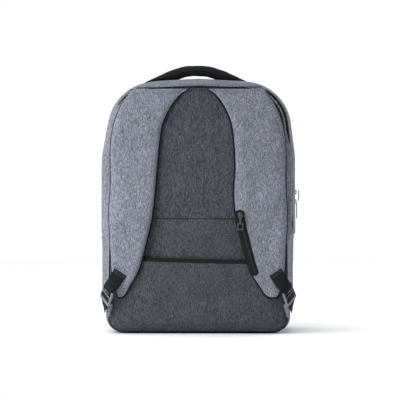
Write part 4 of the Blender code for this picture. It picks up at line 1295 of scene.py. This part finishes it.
def back_pocket():
    """Slack pocket over the lower back, with its mouth bound in black tape."""
    shares, rises = np.linspace(-1, 1, 110), np.linspace(0, 1, 50)

    def point(u, v):
        mouth = POCKET_TOP + 0.0073 - 0.0020 * (1 - u * u) - 0.0035 * u
        z = 0.0080 + (mouth - 0.0080) * v
        belly = (1 - abs(u) ** 9) * float(eased(0, 0.10, v))
        return u * along(POCKET_SIDE, max(z, 0.008)), BACK_Y - 0.0009 - 0.0057 * belly, z

    rows = surface(shares, rises, point)
    soft = 0.0004 * ripple(rows, (16, 10, 20), 9.4) + 0.0001 * ripple(rows, (60, 10, 60), 3.3)
    inside = (1 - np.abs(shares) ** 6)[None] * eased(0, 0.1, rises)[:, None]
    rows[..., 1] += (soft + 0.0001) * inside
    Build().grid(rows).cloth("back_pocket_cloth", DARK, facing(0, -1), 0.0012, "bag", "back_pocket_panel")
    edge = rows[-1] + (0, 0.0006, -0.0022)
    section = [(-0.0032, -0.0009), (-0.0027, -0.0013), (0.0024, -0.0014), (0.0033, -0.0009), (0.0036, 0.0),
               (0.0033, 0.0009), (0.0024, 0.0013), (-0.0032, 0.0011)]
    tape = Build().sweep(edge[2:-2], section, (0, 0, 1))
    tape.laid("back_pocket_mouth_binding", BLACK, "bag", "back_pocket_binding")
    threads = Build().stitches(edge[3:-3] + (0, -0.0016, -0.0018), (0, -1, 0), radius=0.00026)
    threads.laid("back_pocket_stitches", THREAD, "bag")


def side_pockets():
    """Slack pockets gathered by an elastic hem."""
    for side, name, slack in ((-1, "left", 0.0088), (1, "right", 0.0052)):

        def point(t, z):
            rise = (z - SIDE_POCKET_LOW) / (SIDE_POCKET_TOP - SIDE_POCKET_LOW)
            belly = (1 - abs(t) ** 7) * float(eased(0, 0.12, rise))
            gathers = 0.0007 * math.sin(t * 34 + 1.5 * math.sin(t * 9)) * float(eased(0.55, 1.0, rise))
            return side * (LOWER_HALF_WIDTH + 0.0010 + (slack + gathers) * belly), 0.040 * t, z

        shares = np.linspace(-1, 1, 56)
        rows = surface(shares, np.linspace(SIDE_POCKET_LOW, SIDE_POCKET_TOP, 40), point)
        soft = 0.0005 * ripple(rows, (10, 30, 24), 5.5 + side)
        rows[..., 0] += side * soft * (1 - np.abs(shares) ** 6)[None]
        Build().grid(rows).cloth(f"side_pocket_{name}_cloth", LIGHT, facing(side, 0), 0.0011, "bag",
                                 f"side_pocket_{name}")
        hem = Build().sweep(rows[-1] + (-side * 0.0005, 0, 0.0006), rounded_section(0.0075, 0.0021, 0.0002),
                            (0, 0, 1))
        hem.laid(f"side_pocket_{name}_hem", LIGHT, "bag", f"side_pocket_hem_{name}")


def front_pocket():
    """Raised pocket on the lower solar side, with a zip along its top."""
    low, high, half_x, middle_z = 0.014, 0.150, 0.138, 0.082

    def outline(_, inset):
        half = rounded([(0, low + inset, 0), (half_x - inset, low + inset, max(0.022 - inset, 0.002)),
                        (half_x - inset, high - inset, max(0.012 - inset, 0.002)), (0, high - inset, 0)])
        return half + mirrored(half[1:-1])

    sampled = dense(outline, True)
    middle = np.array([0, middle_z])
    rows = []
    for y, inset in ((0.0623, 0.0), (0.066, -0.0006), (0.070, -0.0008), (0.0740, -0.0004), (0.0765, 0.0006),
                     (0.0784, 0.0022), (0.0795, 0.0044), (0.0800, 0.0070)):
        row = sampled(1, max(inset, 0))
        if inset < 0:
            row = middle + (row - middle) * (1 - inset * 8)
        rows.append(at_depth(row, y))
    last, walls = rows[-1][:, [0, 2]], len(rows)
    for r in np.linspace(0.97, 0.02, 34):
        rows.append(at_depth(middle + (last - middle) * r, 0.0800 + 0.0012 * (1 - r**3)))
    rows = np.array(rows)
    soft = 0.0007 * ripple(rows, (16, 10, 22), 7.9) + 0.0002 * ripple(rows, (60, 10, 60), 1.9)
    rows[walls:, :, 1] += soft[walls:]
    Build().grid(rows, around=True, fan=True).cloth(
        "front_pocket_cloth", LIGHT, away_from((0, 0.066, middle_z)), 0.0013, "bag", "front_pocket_shell",
        weld=0.00002)
    path = [(x, 0.0808 + 0.0002 * math.sin(x * 70), 0.1345) for x in np.linspace(-0.125, 0.125, 90)]
    path = np.array(path)
    tape = Build().sweep(path, rounded_section(0.0125, 0.0012), (0, 0, 1))
    tape.laid("front_pocket_zip_tape", BLACK, "bag", "front_pocket_zip")
    coil = Build().teeth(path + (0, 0.0006, 0), (0, 0, 1), 0.0018, 0.0034)
    coil.laid("front_pocket_zip_coil", COIL, "bag")
    threads = Build()
    for rise in (-0.0078, 0.0078):
        threads.stitches(path + (0, 0.0004, rise), (0, 1, 0), 0.0034, 0.0024)
    threads.laid("front_pocket_stitches", THREAD, "bag")


def inside():
    """Quilted divider of the laptop sleeve, with a pocket for a power bank on it."""

    def quilted(x, z):
        squares = abs(math.sin(math.pi * x / 0.052) * math.sin(math.pi * (z - 0.012) / 0.0497))
        return x, -0.0488 + 0.0007 * math.sqrt(squares), z

    rows = surface(np.linspace(-0.130, 0.130, 60), np.linspace(0.012, 0.310, 60), quilted)
    divider = Build().grid(rows).cloth("laptop_divider_pad", LINING, facing(0, 1), 0.0024, "bag",
                                       "laptop_divider")
    rim = [(x, -0.0490, z) for x, z in ((-0.130, 0.02), (-0.130, 0.300), (-0.122, 0.310), (0.122, 0.310),
                                        (0.130, 0.300), (0.130, 0.02))]
    Build().tube(resampled(rim, 0.005), 0.0019).laid("laptop_divider_binding", BLACK, "bag")

    def slack_pocket(t, z):
        rise = (z - 0.110) / 0.125
        belly = (1 - abs(t) ** 8) * float(eased(0, 0.14, rise))
        slack = 0.0012 * math.sin(t * 12 + 1.0) * rise
        return 0.065 * t, -0.0460 + (0.0180 + slack) * belly, z

    rows = surface(np.linspace(-1, 1, 44), np.linspace(0.110, 0.235, 34), slack_pocket)
    Build().grid(rows).cloth("power_bank_pocket_cloth", LINING, facing(0, 1), 0.0013, "bag",
                             "power_bank_pocket")
    hem = Build().sweep(rows[-1] + (0, -0.0005, 0), rounded_section(0.008, 0.0022), (0, 0, 1))
    hem.laid("power_bank_pocket_hem", BLACK, "bag")


def folds():
    """Pleated side gussets, folded inside the closed bag."""
    low = FLAP_Z + 0.004
    for side, name in ((-1, "left"), (1, "right")):

        def pleated(v, t):
            pleat = 0.0065 * (1 - abs(math.cos(math.pi * 3 * t))) * min(1, 4 * min(t, 1 - t) + 0.2)
            x = HALF_WIDTH - 0.0052 - pleat * (0.35 + 0.65 * v)
            return side * x, -0.0100 + 0.0200 * t, low + (0.290 - low) * v

        rows = surface(np.linspace(0, 1, 34), np.linspace(0, 1, 49), pleated)
        piece = Build().grid(rows).cloth(f"opening_gusset_{name}", LINING, facing(side, 0), 0.0007, None)
        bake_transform(piece)


def studs(box, inset, y, profile, sides, **ends):
    """Turned metal parts near the four corners of a box, from their rings' radii and heights."""
    low, high = box
    build = Build()
    for x in (low[0] + inset, high[0] - inset):
        for z in (low[2] + inset, high[2] - inset):
            rows = [[(x + r * c, y + out, z + r * s) for c, s in circle(sides)] for r, out in profile]
            build.grid(rows, around=True, **ends)
    return build


# Solar side

def solar():
    """Finishes of the solar panel's CAD nodes, the busbars, and the sewn border with its eyelets."""
    for finish, edge, names in (
        (PLASTIC, 0, ("solar_backing", "junction_box")), (PLASTIC, EDGE, ("junction_box_lid", "usb_housing")),
        (RUBBER, 0, ("solar_lead",)), (RUBBER, EDGE, ("usb_cover",)), (STEEL, 0, ("usb_socket",)),
        (FILM, 0, ("solar_film",)), (SILICON, 0, SOLAR_CELLS),
    ):
        for name in names:
            refinished(name, finish, edge)
    bars = Build()
    for name in SOLAR_CELLS:
        low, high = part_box(name)
        for share in (0.2, 0.5, 0.8):
            middle = (low[0] + (high[0] - low[0]) * share, high[1] + 0.00008, (low[2] + high[2]) / 2)
            bars.brick(middle, np.eye(3), (0.0011, 0.00012, high[2] - low[2] - 0.002), 0.1)
    bars.laid("solar_busbars", STEEL, "front_flap")
    low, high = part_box("solar_border")
    rows = []
    for inward, out in ((0.0, -0.0012), (-0.0003, 0.0), (0.0004, 0.0012), (0.0014, 0.0016), (0.0050, 0.0018),
                        (0.0088, 0.0014), (0.0097, 0.0006), (0.0098, -0.0010)):
        outline = [p for side in rectangle(low, high, inward, 48) for p in side[:-1]]
        rows.append(at_depth(outline, high[1] - 0.0018 + out))
    rows = np.array(rows)
    rows[2:6, :, 1] += 0.00015 * ripple(rows[2:6], (60, 60, 60), 3.0)
    border = Build().grid(rows, around=True, ring=True).done("solar_border_tape", [BLACK], 50)
    on_body(border, "front_flap", BLACK, "solar_border")
    threads = Build()
    for inward in (0.0024, 0.0078):
        for line in rectangle(low, high, inward, 20):
            threads.stitches(at_depth(line, high[1] + 0.00005), (0, 1, 0), 0.0036, 0.0026, 0.0003)
    threads.laid("solar_border_stitches", PALE_THREAD, "front_flap")
    profile = ((0.0014, 0.0), (0.0015, 0.0006), (0.0020, 0.0009), (0.0027, 0.0006), (0.0029, 0.0))
    studs((low, high), 0.0051, high[1], profile, 24, ring=True).laid("solar_eyelets", METAL, "front_flap")


def usb_details():
    """The USB socket's tongue and contacts, the cover's ribs and the junction box's screws."""
    low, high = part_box("usb_socket")
    middle = ((low[0] + high[0]) / 2 + 0.001, (low[1] + high[1]) / 2 - 0.0007, (low[2] + high[2]) / 2)
    tongue = Build().brick(middle, np.eye(3), (high[0] - low[0] - 0.004, 0.0016, 0.0102), 0.12)
    tongue.laid("usb_tongue", PLASTIC, "front_flap")
    contacts = Build()
    for k in (-1.5, -0.5, 0.5, 1.5):
        spot = (middle[0] - 0.001, middle[1] + 0.0009, middle[2] + k * 0.0022)
        contacts.brick(spot, np.eye(3), (0.007, 0.0003, 0.0009), 0.1)
    contacts.laid("usb_contacts", STEEL, "front_flap")
    low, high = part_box("usb_cover")
    ribs = Build()
    for k in range(4):
        spot = (low[0] - 0.0002, (low[1] + high[1]) / 2, low[2] + 0.0035 + 0.0022 * k)
        ribs.brick(spot, np.eye(3), (0.0010, 0.0100, 0.0009), 0.3)
    ribs.laid("usb_cover_ribs", RUBBER, "usb_cover")
    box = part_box("junction_box_lid")
    profile = ((0.0004, -0.0003), (0.0008, -0.0007), (0.0014, -0.0007), (0.0018, -0.0003), (0.0018, 0.0))
    studs(box, 0.005, box[0][1], profile, 20, caps=True).laid("junction_box_screws", METAL, "front_flap")


def slider_axes(name):
    """The directions out of the zip and along it, at one slider."""
    if name == "strap_pocket":
        run = STRAP_ZIP_RUN
        across = np.array([1.0, 0, 0]) - run * run[0]
        across /= np.linalg.norm(across)
        out = np.cross(run, across)
        return out * -np.sign(out[1]), run
    if name == "front_pocket":
        return np.array([0, 1.0, 0]), np.array([1.0, 0, 0])
    return np.array([1.0, 0, 0]), np.array([0, 0, 1.0])


# Zip sliders

SLIDER_BLOCKS = [  # height, place along the zip, sizes and chamfer: two plates, two posts and the bridge
    (-0.0005, 0, (0.0078, 0.0011, 0.0094), 0.35), (0.0006, 0, (0.0062, 0.0012, 0.0080), 0.4),
    (0.0018, -0.0026, (0.0022, 0.0014, 0.0014), 0.3), (0.0018, 0.0026, (0.0022, 0.0014, 0.0014), 0.3),
    (0.0026, 0, (0.0021, 0.0008, 0.0066), 0.3),
]


def sliders():
    """Zip slider bodies, each two plates with a bridge, and the finish of their CAD pullers."""
    for name in ("main_upper", "main_lower", "front_pocket", "strap_pocket"):
        low, high = (np.array(v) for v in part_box(f"{name}_slider"))
        out, run = slider_axes(name)
        body = Build()
        for lift, forward, sizes, round_off in SLIDER_BLOCKS:
            body.brick((low + high) / 2 + run * forward + out * lift, (np.cross(out, run), out, run),
                       sizes, round_off)
        body.laid(f"{name}_slider_body", METAL, f"{name}_slider", f"{name}_slider")
        refinished(f"{name}_puller", METAL, 0.00035)


def main():
    camera()
    studio()
    ring, top, bottom = shell()
    piping(ring, top, bottom)
    main_zip(top)
    laptop_zip(ring)
    crease_shade(ring)
    base()
    straps()
    handle()
    back_pocket()
    side_pockets()
    front_pocket()
    inside()
    folds()
    solar()
    usb_details()
    sliders()


main()
